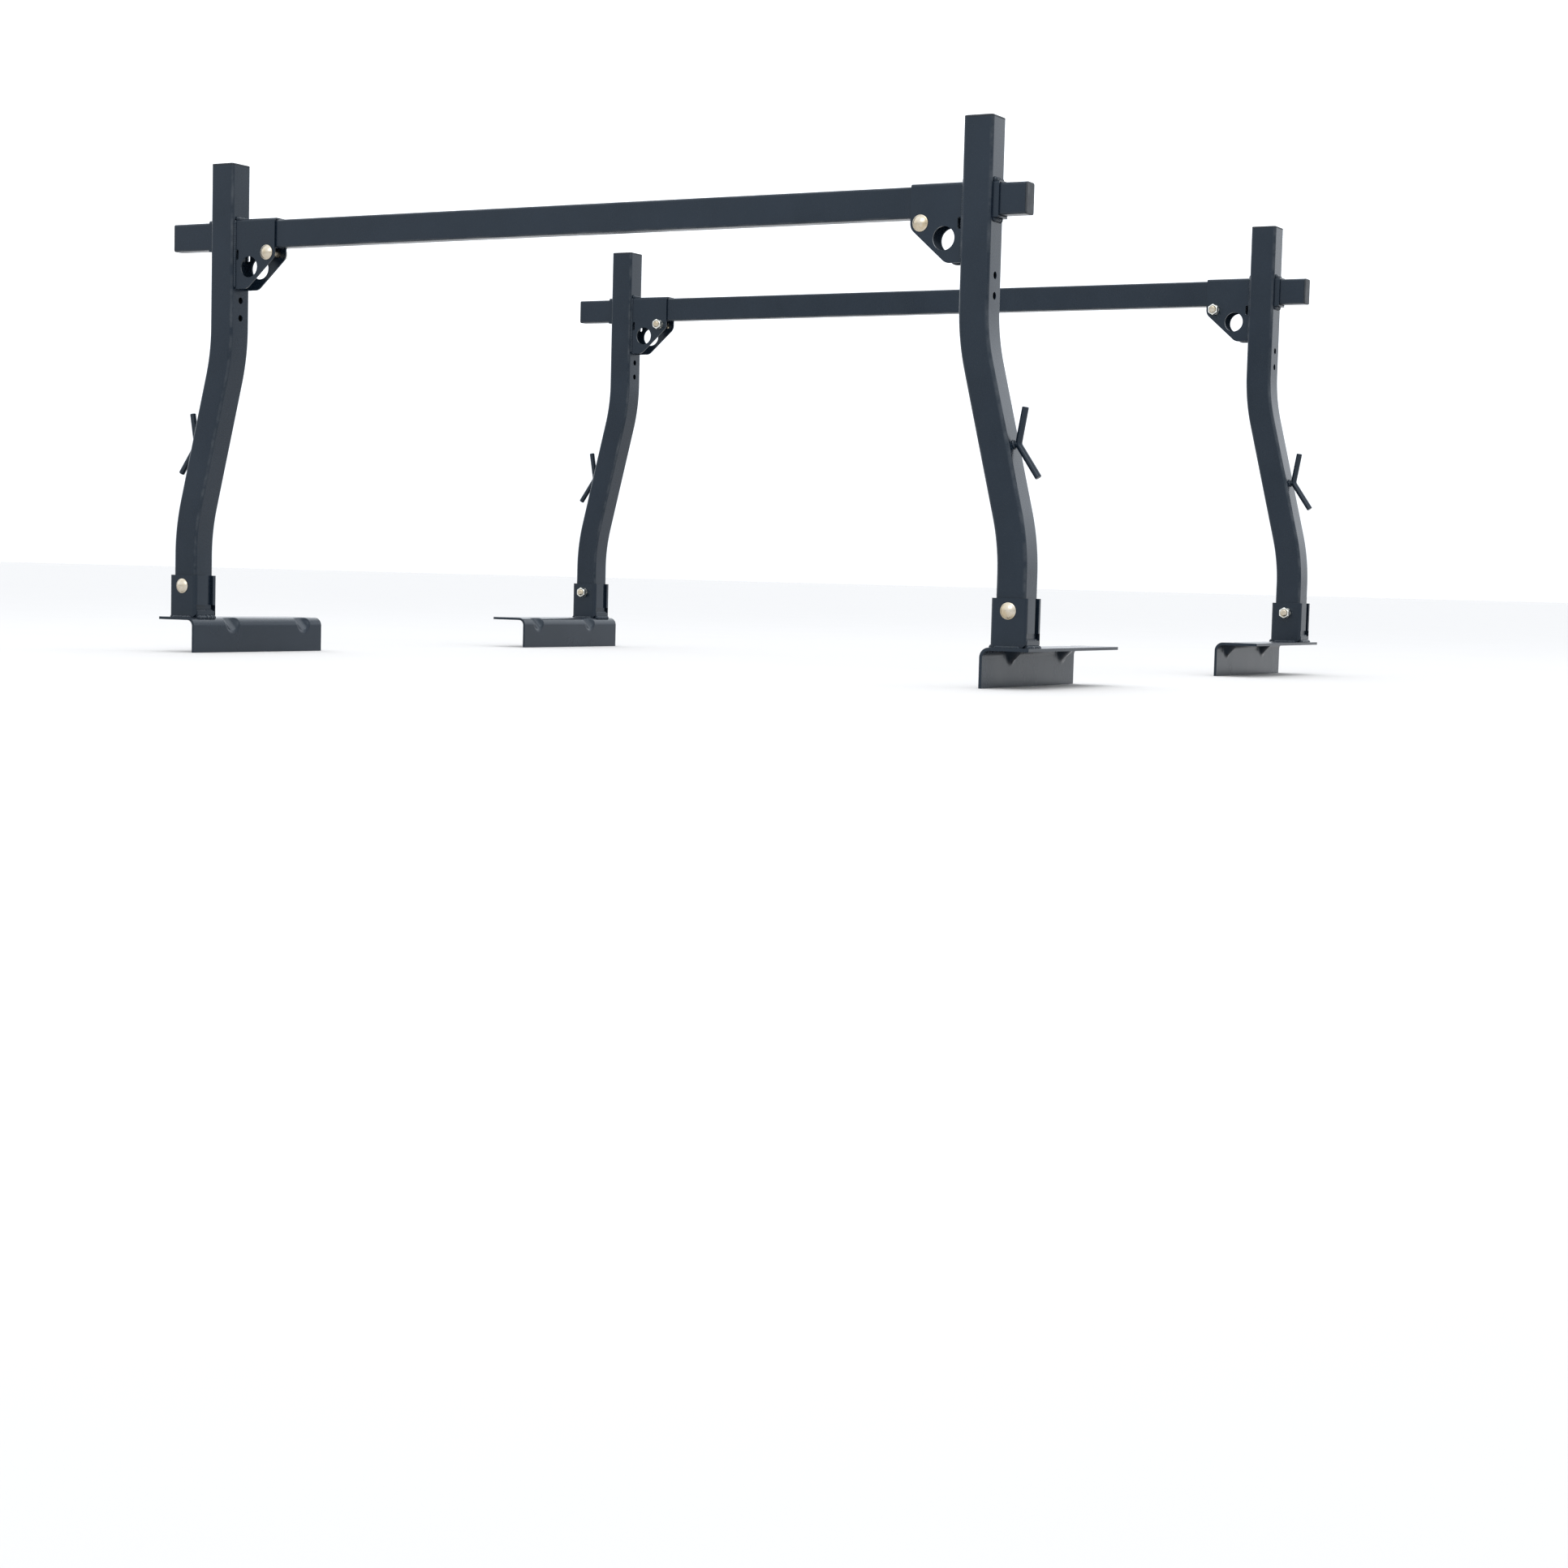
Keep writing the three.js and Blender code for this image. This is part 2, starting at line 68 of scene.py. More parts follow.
def local(piece, axis):
    """The span of a piece of the rear right corner, from the foot of the post."""
    low, high = span("rear_right_" + piece, axis)
    origin = (FOOT_X, FRAME_Y, 0)[axis]
    return low - origin, high - origin


BAR_BOTTOM, BAR_TOP = span("rear_crossbar", 2)
BAR_HALF_DEPTH = (span("rear_crossbar", 1)[1] - span("rear_crossbar", 1)[0]) / 2
TUBE_WALL = 2.5
TUBE_CORNER_STEPS = 6
BAR_CORNER = 4.0
CAP_LIP = 3.0
CAP_PLUG = 12.0
CAP_LEAD_IN = (2.0, 0.8)    # height and depth of the taper at the end of a cap's stem
CAP_LIP_RELIEF = (0.3, 0.15)  # the same for the break of the lip's lower edge
CAP_EDGE = 1.2
CAP_CROWN = ((0.6, 0.12), (0.25, 0.45), (0.05, 1.0), (0.0, 2.2))  # down and in, per CAP_EDGE
CAP_LEAST_CORNER = 0.6
CAP_CORNER_STEPS = 5
FIT_GAP = 0.3               # between pieces that fit into or against one another

TOP_X = sum(local("post_cap", 0)) / 2
POST_HALF = local("post", 1)[1]
POST_CORNER = 6.0
POST_FOOT_Z, POST_TOP_Z = local("post", 2)
LOWER_BEND_Z = BAR_BOTTOM - 511
UPPER_BEND_Z = BAR_BOTTOM - 189
POST_BEND_RADIUS = 390.0
POST_BEND_STEPS = 16
ACCESSORY_HOLES_Z = (BAR_BOTTOM - 92, BAR_BOTTOM - 124)
ACCESSORY_HOLE_RADIUS = 6.0
ACCESSORY_HOLE_SIDES = 28

SHEET = 3.0
FOLD_RADIUS = 5.0
SLEEVE_Y = local("bar_bracket", 1)[1]
SLEEVE_INNER_END, SLEEVE_OUTER_END = local("bar_bracket", 0)
GUSSET_BOTTOM, SLEEVE_TOP = local("bar_bracket", 2)
SLEEVE_BOTTOM = BAR_BOTTOM - (SLEEVE_TOP - BAR_TOP)
GUSSET_CORNER = 18.0
GUSSET_HEEL = 21.0          # from the post to the middle of the lower corner
GUSSET_CORNER_STEPS, GUSSET_LOBE_STEPS = 10, 12
TIE_HOLE = (TOP_X - 58, BAR_BOTTOM - 33.3)
TIE_HOLE_RADIUS = 19.0
TIE_HOLE_SIDES = 64
RELIEF_SLOT = (TOP_X - 31, BAR_BOTTOM - 10.5)
RELIEF_SLOT_WIDTH, RELIEF_SLOT_HEIGHT = 6.0, 19.0
CLAMP_X = sum(local("clamp_bolt", 0)) / 2
CLAMP_Z = sum(local("clamp_bolt", 2)) / 2

PLATE_INBOARD, PLATE_OUTBOARD = local("base_plate", 0)
PLATE_BEHIND, PLATE_AHEAD = local("base_plate", 1)
SEAT_TOP = local("base_plate", 2)[1]
SEAT_HEIGHT = 12.0
PLATE_TOP = SEAT_TOP - SEAT_HEIGHT
PLATE_THICKNESS = 5.0
PLATE_BEND = 16.0
PLATE_BEND_CENTRE = (PLATE_INBOARD + PLATE_BEND, PLATE_TOP - PLATE_BEND)
PLATE_BEND_STEPS = 14
PLATE_TOP_X = (24, 0)       # more points across the top of the plate
PLATE_FLANGE_Z = (14, 0)    # and down its flange to its end
PLATE_EDGE_ANGLE = 50       # its rim is sharper than this, the dimples are not
DIMPLES_Y = (65.0, 275.0)
DIMPLE_RADIUS = 22.0
DIMPLE_OFFSET = 10.0        # from the bend to the axis of the punch that pressed the dimple
DIMPLE_WALL = 4.0
DIMPLE_BLEND = 4.0
DIMPLE_STEP_Y = 1.5         # between the plate's cross-sections near a dimple
DIMPLE_STEP = 2.0           # between the points of a cross-section on either side of the bend
DIMPLE_STEPS = 10

SOCKET_BOTTOM, SOCKET_TOP = local("socket_outer_half", 2)
SOCKET_OUT = local("socket_outer_half", 0)[1]
SOCKET_WALL = 5.0
SOCKET_LONG_FLANGE, SOCKET_SHORT_FLANGE = 35.0, 12.0
SOCKET_BEND = 7.0
SOCKET_RELIEF = 23.0
SOCKET_CHAMFER = 6.0
POST_BOLT_Z = sum(local("post_bolt", 2)) / 2
SEAT_HALF_Y = 2 * POST_HALF - (SOCKET_OUT - SOCKET_WALL)
SEAT_CORNER = 2.0
FILLET_STEPS = 4
AT_FOOT = (0, 0, 0)         # the offset of pieces drawn about the foot of the post

BOLT_RADIUS = 6.35
NECK_HALF = 6.35
NECK_CORNER = 1.32 * NECK_HALF
NECK_TAPER = 1.0
THREAD_PITCH = 1.95
THREAD_DEPTH = 1.0
THREAD_LEAD = 1.0           # how far inside the clamped pieces the thread starts
LEVELS_PER_TURN = 9
BOLT_CHAMFER = 1.5
DOME_RADIUS = 13.5
DOME_HEIGHT = 6.5
DOME_STEPS = 12
DOME_TIP = (0.002, 0.4)     # depth and radius of the flat on top of the dome
DOME_RIM = ((0.8, 0.15), (0.32, 0.0), (0.0, 0.3))   # up from the underside and in, per level
WASHER_RADIUS = 10.0
WASHER_HEIGHT = 2.5
WASHER_EDGE = 0.5
NUT_HALF_FLATS = 9.5
NUT_FACE_RADIUS = 0.96 * NUT_HALF_FLATS
NUT_CHAMFER_ANGLE, NUT_CHAMFER_STEPS = 30, 6
NUT_WORN_AND_HIGHLIT_LEVELS = (4, 5, 6, 9, 10, 11)  # the outer halves of its two chamfers
NUT_COUNTERSINK = 0.9
HOLE_PLAY = 0.35
HOLE_SIDES = 40
TURNED_SIDES = 48
NUT_SIDES = 96

ROD_RADIUS = 5.5
ROD_CHAMFER = 0.8
ROD_SIDES = 24
CLEAT_FOOT, CLEAT_BEND, CLEAT_TIP = (31.0, 332.0), (-5.0, 384.0), (5.0, 442.5)
CLEAT_BEND_RADIUS = 12.0
CLEAT_BEND_STEPS = 10

EDGE = 0.7                  # rounding of sheared and sawn edges
CREASE = 32                 # shading breaks at edges sharper than this, in degrees
SLIVER = 0.002              # edges shorter than this are dropped from a joined or cut mesh
CUT_MARGIN = 3.0            # how far a cutter reaches past the piece it cuts

WELD_RADII = {"sleeve": 4.6, "gusset": 3.2, "cleat": 2.6, "seat": 5.0, "foot": 2.8, "socket": 3.4}
WELD_SETBACK = 3.0          # from the end of a joint to the end of its bead
SLEEVE_WELD_SETBACK = 2.0
WELD_PITCH = 3.6            # from one ripple of a weld bead to the next
WELD_SIDES = 10
RIPPLE_STEPS = 5
RIPPLE_SIZES = (0.92, 1.06)  # how the ripples' radii spread about the bead's own
RIPPLE_SHRINK = 0.2         # how much of its radius a ripple loses along its length
BEAD_END_STEPS = 3          # rings over which the end of a bead swells to its full size
BEAD_TIP_STEP = 0.35        # how far along those steps its first ring already is
# how much a weld bead is lightened all over: partly wear, partly a painted highlight
BEAD_WEAR_AND_HIGHLIGHT = 0.25

CAMERA_PLACE = (2.566, -4.622, 0.160)   # in metres
CAMERA_TURN, CAMERA_TILT, CAMERA_ROLL = 28.5, 4.27, 1.49   # in degrees
SENSOR_WIDTH, FOCAL_LENGTH = 36.0, 62.27
FLOOR_REACH = 400000

# ---------------------------------------------------------------- outlines


def arc(centre, radius, start, end, steps=8):
    """Points along a round stretch, both ends included, with angles in degrees."""
    angles = [math.radians(start + (end - start) * k / steps) for k in range(steps + 1)]
    return [(centre[0] + radius * math.cos(a), centre[1] + radius * math.sin(a)) for a in angles]


def circle(centre, radius, sides):
    return arc(centre, radius, 0, 360 - 360 / sides, sides - 1)


def rounded_rectangle(half_width, half_height, radius, steps):
    w, h = half_width - radius, half_height - radius
    quarters = (((w, h), 0), ((-w, h), 90), ((-w, -h), 180), ((w, -h), 270))
    return [p for centre, a in quarters for p in arc(centre, radius, a, a + 90, steps)]


def bend_line(points, radius, steps):
    """Stations (x, z, lean) along a bent centre line. The lean turns from +Z towards -X."""

    def lean(a, b):
        return math.atan2(a[0] - b[0], b[1] - a[1])

    stations = [(*points[0], lean(points[0], points[1]))]
    for a, b, c in zip(points, points[1:], points[2:]):
        before, after = lean(a, b), lean(b, c)
        turn = after - before
        tangent = radius * math.tan(abs(turn) / 2)
        side = math.copysign(1, turn)
        start = (b[0] + tangent * math.sin(before), b[1] - tangent * math.cos(before))
        centre = (start[0] - side * radius * math.cos(before),
                  start[1] - side * radius * math.sin(before))
        for k in range(steps + 1):
            angle = before + turn * k / steps
            stations.append((centre[0] + side * radius * math.cos(angle),
                             centre[1] + side * radius * math.sin(angle), angle))
    return stations + [(*points[-1], lean(points[-2], points[-1]))]


# ---------------------------------------------------------------- mesh building


def mesh_object(name, verts, faces):
    """A mesh drawn in millimetres, with its faces turned outward."""
    mesh = bpy.data.meshes.new(name)
    mesh.from_pydata([Vector(v) * MM for v in verts], [], faces)
    shell = bmesh.new()
    shell.from_mesh(mesh)
    bmesh.ops.recalc_face_normals(shell, faces=shell.faces)
    shell.to_mesh(mesh)
    shell.free()
    obj = bpy.data.objects.new(name, mesh)
    bpy.context.scene.collection.objects.link(obj)
    return obj


def loft(name, rings, closed=False):
    """A skin through rings of equally many points. Its ends are flat unless it is closed."""
    count = len(rings[0])
    verts = [p for ring in rings for p in ring]
    faces = []
    for i in range(len(rings) if closed else len(rings) - 1):
        here, there = i * count, (i + 1) % len(rings) * count
        for k in range(count):
            n = (k + 1) % count
            faces.append((here + k, here + n, there + n, there + k))
    if not closed:
        faces.append(range(count - 1, -1, -1))
        faces.append(range(len(verts) - count, len(verts)))
    return mesh_object(name, verts, faces)


def extrude(name, outline, low, high, place):
    """An outline extruded from low to high. place turns its two axes and depth into x, y, z."""
    return loft(name, [[place(u, v, w) for u, v in outline] for w in (low, high)])


def along_y(u, v, w):
    return u, w, v


def along_x(u, v, w):
    return w, u, v


def along_z(u, v, w):
    return u, v, w


def block(name, xs, ys, zs):
    outline = [(xs[0], ys[0]), (xs[1], ys[0]), (xs[1], ys[1]), (xs[0], ys[1])]
    return extrude(name, outline, *zs, along_z)


def cylinder(name, centre, radius, low, high, place, sides=HOLE_SIDES):
    return extrude(name, circle(centre, radius, sides), low, high, place)


def bolt_hole(x, z, low, high):
    return cylinder("bolt_hole", (x, z), BOLT_RADIUS + HOLE_PLAY, low, high, along_y)


def apply_modifiers(obj):
    depsgraph = bpy.context.evaluated_depsgraph_get()
    mesh = bpy.data.meshes.new_from_object(obj.evaluated_get(depsgraph))
    obj.modifiers.clear()
    obj.data = mesh
    return obj


def join_or_cut(obj, operation, *others):
    """Joins, cuts or intersects an object with others, which are used up, and drops slivers."""
    for other in others:
        modifier = obj.modifiers.new("join_or_cut", "BOOLEAN")
        modifier.operation, modifier.solver, modifier.object = operation, "EXACT", other
        apply_modifiers(obj)
        bpy.data.objects.remove(other)
    shell = bmesh.new()
    shell.from_mesh(obj.data)
    bmesh.ops.dissolve_degenerate(shell, dist=SLIVER * MM, edges=shell.edges)
    shell.to_mesh(obj.data)
    shell.free()
    return obj


def round_edges(obj, sharper_than=35):
    """Rounds the sharp edges in two steps, and marks the points in the middle of each for edge wear
    and a painted highlight.
    """
    modifier = obj.modifiers.new("round_edges", "BEVEL")
    modifier.width, modifier.segments = EDGE * MM, 2
    modifier.limit_method, modifier.angle_limit = "ANGLE", math.radians(sharper_than)
    modifier.material = 1
    obj.data.materials.append(None)
    obj.data.materials.append(None)
    apply_modifiers(obj)
    # The marked points are lightened by the finishes: partly wear, partly a painted highlight.
    strip = [p.material_index == 1 for p in obj.data.polygons]
    worn_and_highlit = [1.0] * len(obj.data.vertices)
    for polygon, on_edge in zip(obj.data.polygons, strip):
        polygon.material_index = 0
        if not on_edge:
            for v in polygon.vertices:
                worn_and_highlit[v] = 0.0
    set_wear_and_highlight(obj, worn_and_highlit)
    obj.data.materials.clear()
    return obj


def set_wear_and_highlight(obj, values):
    """How much a finish has worn at each point, together with its painted edge highlight, from 0 to
    1, for the finishes to read.
    """
    attributes = obj.data.attributes
    attribute = attributes.get("wear_and_highlight") or attributes.new("wear_and_highlight", "FLOAT", "POINT")
    attribute.data.foreach_set("value", values)


# ---------------------------------------------------------------- finishes


def noise(nodes, links, scale, detail=3.0, roughness=0.55, stretch=(1, 1, 1)):
    """A noise in object space. The scale is in features per metre."""
    coordinates = nodes.new("ShaderNodeTexCoord")
    mapping = nodes.new("ShaderNodeMapping")
    mapping.inputs["Scale"].default_value = stretch
    texture = nodes.new("ShaderNodeTexNoise")
    texture.inputs["Scale"].default_value = scale
    texture.inputs["Detail"].default_value = detail
    texture.inputs["Roughness"].default_value = roughness
    links.new(coordinates.outputs["Object"], mapping.inputs["Vector"])
    links.new(mapping.outputs["Vector"], texture.inputs["Vector"])
    return texture.outputs["Fac"]


def remap(nodes, links, value, low, high, to_low=0.0, to_high=1.0):
    node = nodes.new("ShaderNodeMapRange")
    node.inputs["From Min"].default_value, node.inputs["From Max"].default_value = low, high
    node.inputs["To Min"].default_value, node.inputs["To Max"].default_value = to_low, to_high
    links.new(value, node.inputs["Value"])
    return node.outputs["Result"]


def math_node(nodes, links, operation, a, b):
    node = nodes.new("ShaderNodeMath")
    node.operation = operation
    for socket, value in zip(node.inputs, (a, b)):
        if isinstance(value, float):
            socket.default_value = value
        else:
            links.new(value, socket)
    return node.outputs["Value"]


def mix_color(nodes, links, factor, a, b):
    node = nodes.new("ShaderNodeMix")
    node.data_type = "RGBA"
    links.new(factor, node.inputs["Factor"])
    for socket, value in ((node.inputs[6], a), (node.inputs[7], b)):
        if isinstance(value, tuple):
            socket.default_value = (*value, 1)
        else:
            links.new(value, socket)
    return node.outputs[2]


def add_bump(nodes, links, shader, layers):
    """Stacks bumps given as (height, strength, depth in millimetres)."""
    normal = None
    for height, strength, depth in layers:
        bump = nodes.new("ShaderNodeBump")
        bump.inputs["Strength"].default_value = strength
        bump.inputs["Distance"].default_value = depth * MM
        links.new(height, bump.inputs["Height"])
        if normal:
            links.new(normal, bump.inputs["Normal"])
        normal = bump.outputs["Normal"]
    links.new(normal, shader.inputs["Normal"])


def new_finish(name):
    material = bpy.data.materials.new(name)
    material.use_nodes = True
    nodes, links = material.node_tree.nodes, material.node_tree.links
    return material, nodes, links, nodes["Principled BSDF"]


def wear_and_highlight_mask(nodes, links, amount):
    """The worn and painted-highlight points of a mesh, broken up by noise so that the wear and
    highlight come and go.
    """
    attribute = nodes.new("ShaderNodeAttribute")
    attribute.attribute_name = "wear_and_highlight"
    patches = remap(nodes, links, noise(nodes, links, 35, 5), 0.42, 0.72)
    worn_and_highlit = math_node(nodes, links, "MULTIPLY", attribute.outputs["Fac"], patches)
    return math_node(nodes, links, "MULTIPLY", worn_and_highlit, amount)


BLUE_CAST = (0.84, 0.93, 1.0, 1)    # the tint of reflections on the black finishes


def powder_coat():
    """Satin black powder coat with a blue-grey cast, orange peel, faint dust, and edges lightened
    by wear and a painted highlight.
    """
    material, nodes, links, shader = new_finish("black_powder_coat")
    tone = remap(nodes, links, noise(nodes, links, 9, 4), 0.3, 0.7)
    paint = mix_color(nodes, links, tone, (0.004, 0.009, 0.0165), (0.0075, 0.0135, 0.023))
    specks = remap(nodes, links, noise(nodes, links, 900, 1), 0.66, 0.74, 0.0, 0.35)
    paint = mix_color(nodes, links, specks, paint, (0.045, 0.05, 0.056))
    geometry = nodes.new("ShaderNodeNewGeometry")
    split = nodes.new("ShaderNodeSeparateXYZ")
    links.new(geometry.outputs["Normal"], split.inputs["Vector"])
    upward = remap(nodes, links, split.outputs["Z"], 0.55, 1.0)
    drifts = remap(nodes, links, noise(nodes, links, 22, 6), 0.35, 0.75, 0.03, 0.12)
    dust = math_node(nodes, links, "MULTIPLY", upward, drifts)
    paint = mix_color(nodes, links, dust, paint, (0.30, 0.29, 0.28))
    # Edges are lightened here: partly rubbed wear, partly a painted highlight along the edges.
    rubbed_and_highlit = wear_and_highlight_mask(nodes, links, 0.55)
    paint = mix_color(nodes, links, rubbed_and_highlit, paint, (0.085, 0.092, 0.10))
    links.new(paint, shader.inputs["Base Color"])
    smears = noise(nodes, links, 14, 5, stretch=(1, 1, 0.3))
    satin = remap(nodes, links, smears, 0.3, 0.7, 0.21, 0.30)
    dull = math_node(nodes, links, "MULTIPLY", dust, 0.5)
    links.new(math_node(nodes, links, "ADD", satin, dull), shader.inputs["Roughness"])
    shader.inputs["Specular IOR Level"].default_value = 0.42
    shader.inputs["Specular Tint"].default_value = BLUE_CAST
    add_bump(nodes, links, shader, [(noise(nodes, links, 420, 2), 0.30, 0.10),
                                    (noise(nodes, links, 60, 3), 0.25, 0.25)])
    return material


def moulded_plastic():
    """Matte black polyethylene with a fine moulded grain."""
    material, nodes, links, shader = new_finish("black_plastic")
    tone = remap(nodes, links, noise(nodes, links, 60, 4), 0.3, 0.7)
    color = mix_color(nodes, links, tone, (0.012, 0.014, 0.017), (0.022, 0.024, 0.028))
    # Edge points are lightened: partly wear, partly a painted highlight.
    color = mix_color(nodes, links, wear_and_highlight_mask(nodes, links, 0.5), color, (0.09, 0.09, 0.09))
    links.new(color, shader.inputs["Base Color"])
    links.new(remap(nodes, links, noise(nodes, links, 45, 5), 0.3, 0.7, 0.46, 0.62),
              shader.inputs["Roughness"])
    shader.inputs["Specular Tint"].default_value = BLUE_CAST
    add_bump(nodes, links, shader, [(noise(nodes, links, 1400, 3), 0.35, 0.06)])
    return material


def zinc_plate(name, silver, straw, stain):
    """Bright zinc whose passivated tint drifts from silver to straw, with darker stains."""
    material, nodes, links, shader = new_finish(name)
    drift = remap(nodes, links, noise(nodes, links, 70, 4), 0.38, 0.66)
    color = mix_color(nodes, links, drift, silver, straw)
    stains = remap(nodes, links, noise(nodes, links, 190, 6, 0.7), 0.55, 0.8, 0.0, 0.5)
    color = mix_color(nodes, links, stains, color, stain)
    # Edge points are lightened towards bright zinc: partly wear, partly a painted highlight.
    color = mix_color(nodes, links, wear_and_highlight_mask(nodes, links, 0.7), color, (0.90, 0.90, 0.90))
    links.new(color, shader.inputs["Base Color"])
    shader.inputs["Metallic"].default_value = 1.0
    links.new(remap(nodes, links, noise(nodes, links, 260, 5), 0.3, 0.75, 0.24, 0.38),
              shader.inputs["Roughness"])
    add_bump(nodes, links, shader, [(noise(nodes, links, 700, 3), 0.25, 0.05)])
    return material


# Each material slot's finish, and the clear zinc that washers and nuts have instead of yellow.
FINISHES = {
    "black_steel": powder_coat(),
    "black_plastic": moulded_plastic(),
    "zinc_plate": zinc_plate("yellow_zinc", silver=(0.62, 0.57, 0.48),
                             straw=(0.54, 0.45, 0.31), stain=(0.32, 0.25, 0.17)),
    "clear_zinc": zinc_plate("clear_zinc", silver=(0.86, 0.86, 0.82),
                             straw=(0.78, 0.77, 0.68), stain=(0.36, 0.34, 0.28)),
}

# ---------------------------------------------------------------- placing the pieces


def finish_mesh(obj, finish):
    """Shades a mesh smooth apart from its sharp edges and gives it its finish."""
    obj.data.materials.clear()
    obj.data.materials.append(FINISHES[finish])
    obj.data.shade_smooth()
    obj.data.set_sharp_from_angle(angle=math.radians(CREASE))
    return obj


def ride_and_replace(obj, body, node=None):
    """Hands a piece to its body, with its normals weighted so that flat faces stay flat."""
    obj.modifiers.new("flat_faces", "WEIGHTED_NORMAL").keep_sharp = True
    apply_modifiers(obj)
    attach(obj, body)
    if node:
        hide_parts(node)


def copy_to_corners(obj, piece, slot_name, replaced=True, offset=None, finish=None):
    """Puts a copy of a corner's piece at all four corners, then drops the drawn one.

    A piece is mirrored to the other corners. One with an offset is drawn about its own axis, at
    that distance from the foot of the post, and keeps its hand: it is only turned for the front
    frame, so threads stay right-handed and the halves of the sockets stay the same part. The
    finish is the slot's own unless another one is named.
    """
    finish_mesh(obj, finish or slot_name)
    for end, side in CORNERS:
        across, along = (1 if side == "right" else -1), (1 if end == "rear" else -1)
        x, y, z = offset or (0, 0, 0)
        place = Matrix.Translation(Vector((across * (FOOT_X + x), along * (FRAME_Y + y), z)) * MM)
        turn = (along, along) if offset else (across, along)
        mesh = obj.data.copy()
        mesh.transform(place @ Matrix.Diagonal((*turn, 1, 1)))
        if turn[0] * turn[1] < 0:
            mesh.flip_normals()
        node = f"{end}_{side}_{piece}"
        copy = bpy.data.objects.new(node + ("_visual" if replaced else ""), mesh)
        bpy.context.scene.collection.objects.link(copy)
        ride_and_replace(copy, f"{end}_{side}_upright", node if replaced else None)
    bpy.data.objects.remove(obj)


# ---------------------------------------------------------------- tubes and their plugs


def tube_rings(section_half, corner, stations):
    """Rings of a hollow square or oblong tube: out along the outside and back along the inside.

    Also gives each point's edge wear and painted highlight, which is highest in the middle of a
    rounded corner.
    """
    half_u, half_v = section_half
    steps = TUBE_CORNER_STEPS
    outside = rounded_rectangle(half_u, half_v, corner, steps)
    inside = rounded_rectangle(half_u - TUBE_WALL, half_v - TUBE_WALL, corner - TUBE_WALL, steps)

    def ring(section, station):
        x, z, lean = station
        return [(x + u * math.cos(lean), v, z + u * math.sin(lean)) for u, v in section]

    rings = [ring(outside, s) for s in stations] + [ring(inside, s) for s in reversed(stations)]
    corner_wear_and_highlight = [math.sin(math.pi * k / steps) ** 2 for _ in range(4) for k in range(steps + 1)]
    wear_and_highlight = corner_wear_and_highlight * len(stations) + [0.0] * (len(outside) * len(stations))
    return rings, wear_and_highlight


def make_posts():
    line = bend_line([(0, POST_FOOT_Z), (0, LOWER_BEND_Z), (TOP_X, UPPER_BEND_Z),
                      (TOP_X, POST_TOP_Z)], POST_BEND_RADIUS, POST_BEND_STEPS)
    rings, wear_and_highlight = tube_rings((POST_HALF, POST_HALF), POST_CORNER, line)
    post = loft("post", rings, closed=True)
    set_wear_and_highlight(post, wear_and_highlight)
    reach = 2 * POST_HALF
    half_window = SLEEVE_Y + FIT_GAP
    window = block("window", (TOP_X - reach, TOP_X + reach), (-half_window, half_window),
                   (SLEEVE_BOTTOM - FIT_GAP, SLEEVE_TOP + FIT_GAP))
    holes = [cylinder("accessory_hole", (0, z), ACCESSORY_HOLE_RADIUS, TOP_X - reach,
                      TOP_X + reach, along_x, ACCESSORY_HOLE_SIDES) for z in ACCESSORY_HOLES_Z]
    join_or_cut(post, "DIFFERENCE", window, bolt_hole(0, POST_BOLT_Z, -reach, reach), *holes)
    copy_to_corners(post, "post", "black_steel")


def plug(name, half_u, half_v, corner):
    """A moulded plug: a lip that covers the tube's end, softly crowned, and a stem inside it."""
    inset = TUBE_WALL + FIT_GAP
    levels = [(-CAP_PLUG, inset + CAP_LEAD_IN[1]), (-CAP_PLUG + CAP_LEAD_IN[0], inset), (0, inset),
              (0, CAP_LIP_RELIEF[1]), (CAP_LIP_RELIEF[0], 0), (CAP_LIP - CAP_EDGE, 0)]
    levels += [(CAP_LIP - down * CAP_EDGE, inward * CAP_EDGE) for down, inward in CAP_CROWN]
    rings, wear_and_highlight = [], []
    for z, cut in levels:
        radius = max(corner - cut, CAP_LEAST_CORNER)
        outline = rounded_rectangle(half_u - cut, half_v - cut, radius, CAP_CORNER_STEPS)
        rings.append([(u, v, z) for u, v in outline])
        # The crowned edge of the lip is lightened: partly wear, partly a painted highlight.
        wear_and_highlight += [float(CAP_LIP - CAP_EDGE < z < CAP_LIP)] * len(outline)
    obj = loft(name, rings)
    set_wear_and_highlight(obj, wear_and_highlight)
    return obj


def make_post_caps():
    cap = plug("post_cap", POST_HALF, POST_HALF, POST_CORNER)
    lip_bottom = local("post_cap", 2)[1] - CAP_LIP
    cap.data.transform(Matrix.Translation(Vector((TOP_X, 0, lip_bottom)) * MM))
    copy_to_corners(cap, "post_cap", "black_plastic")


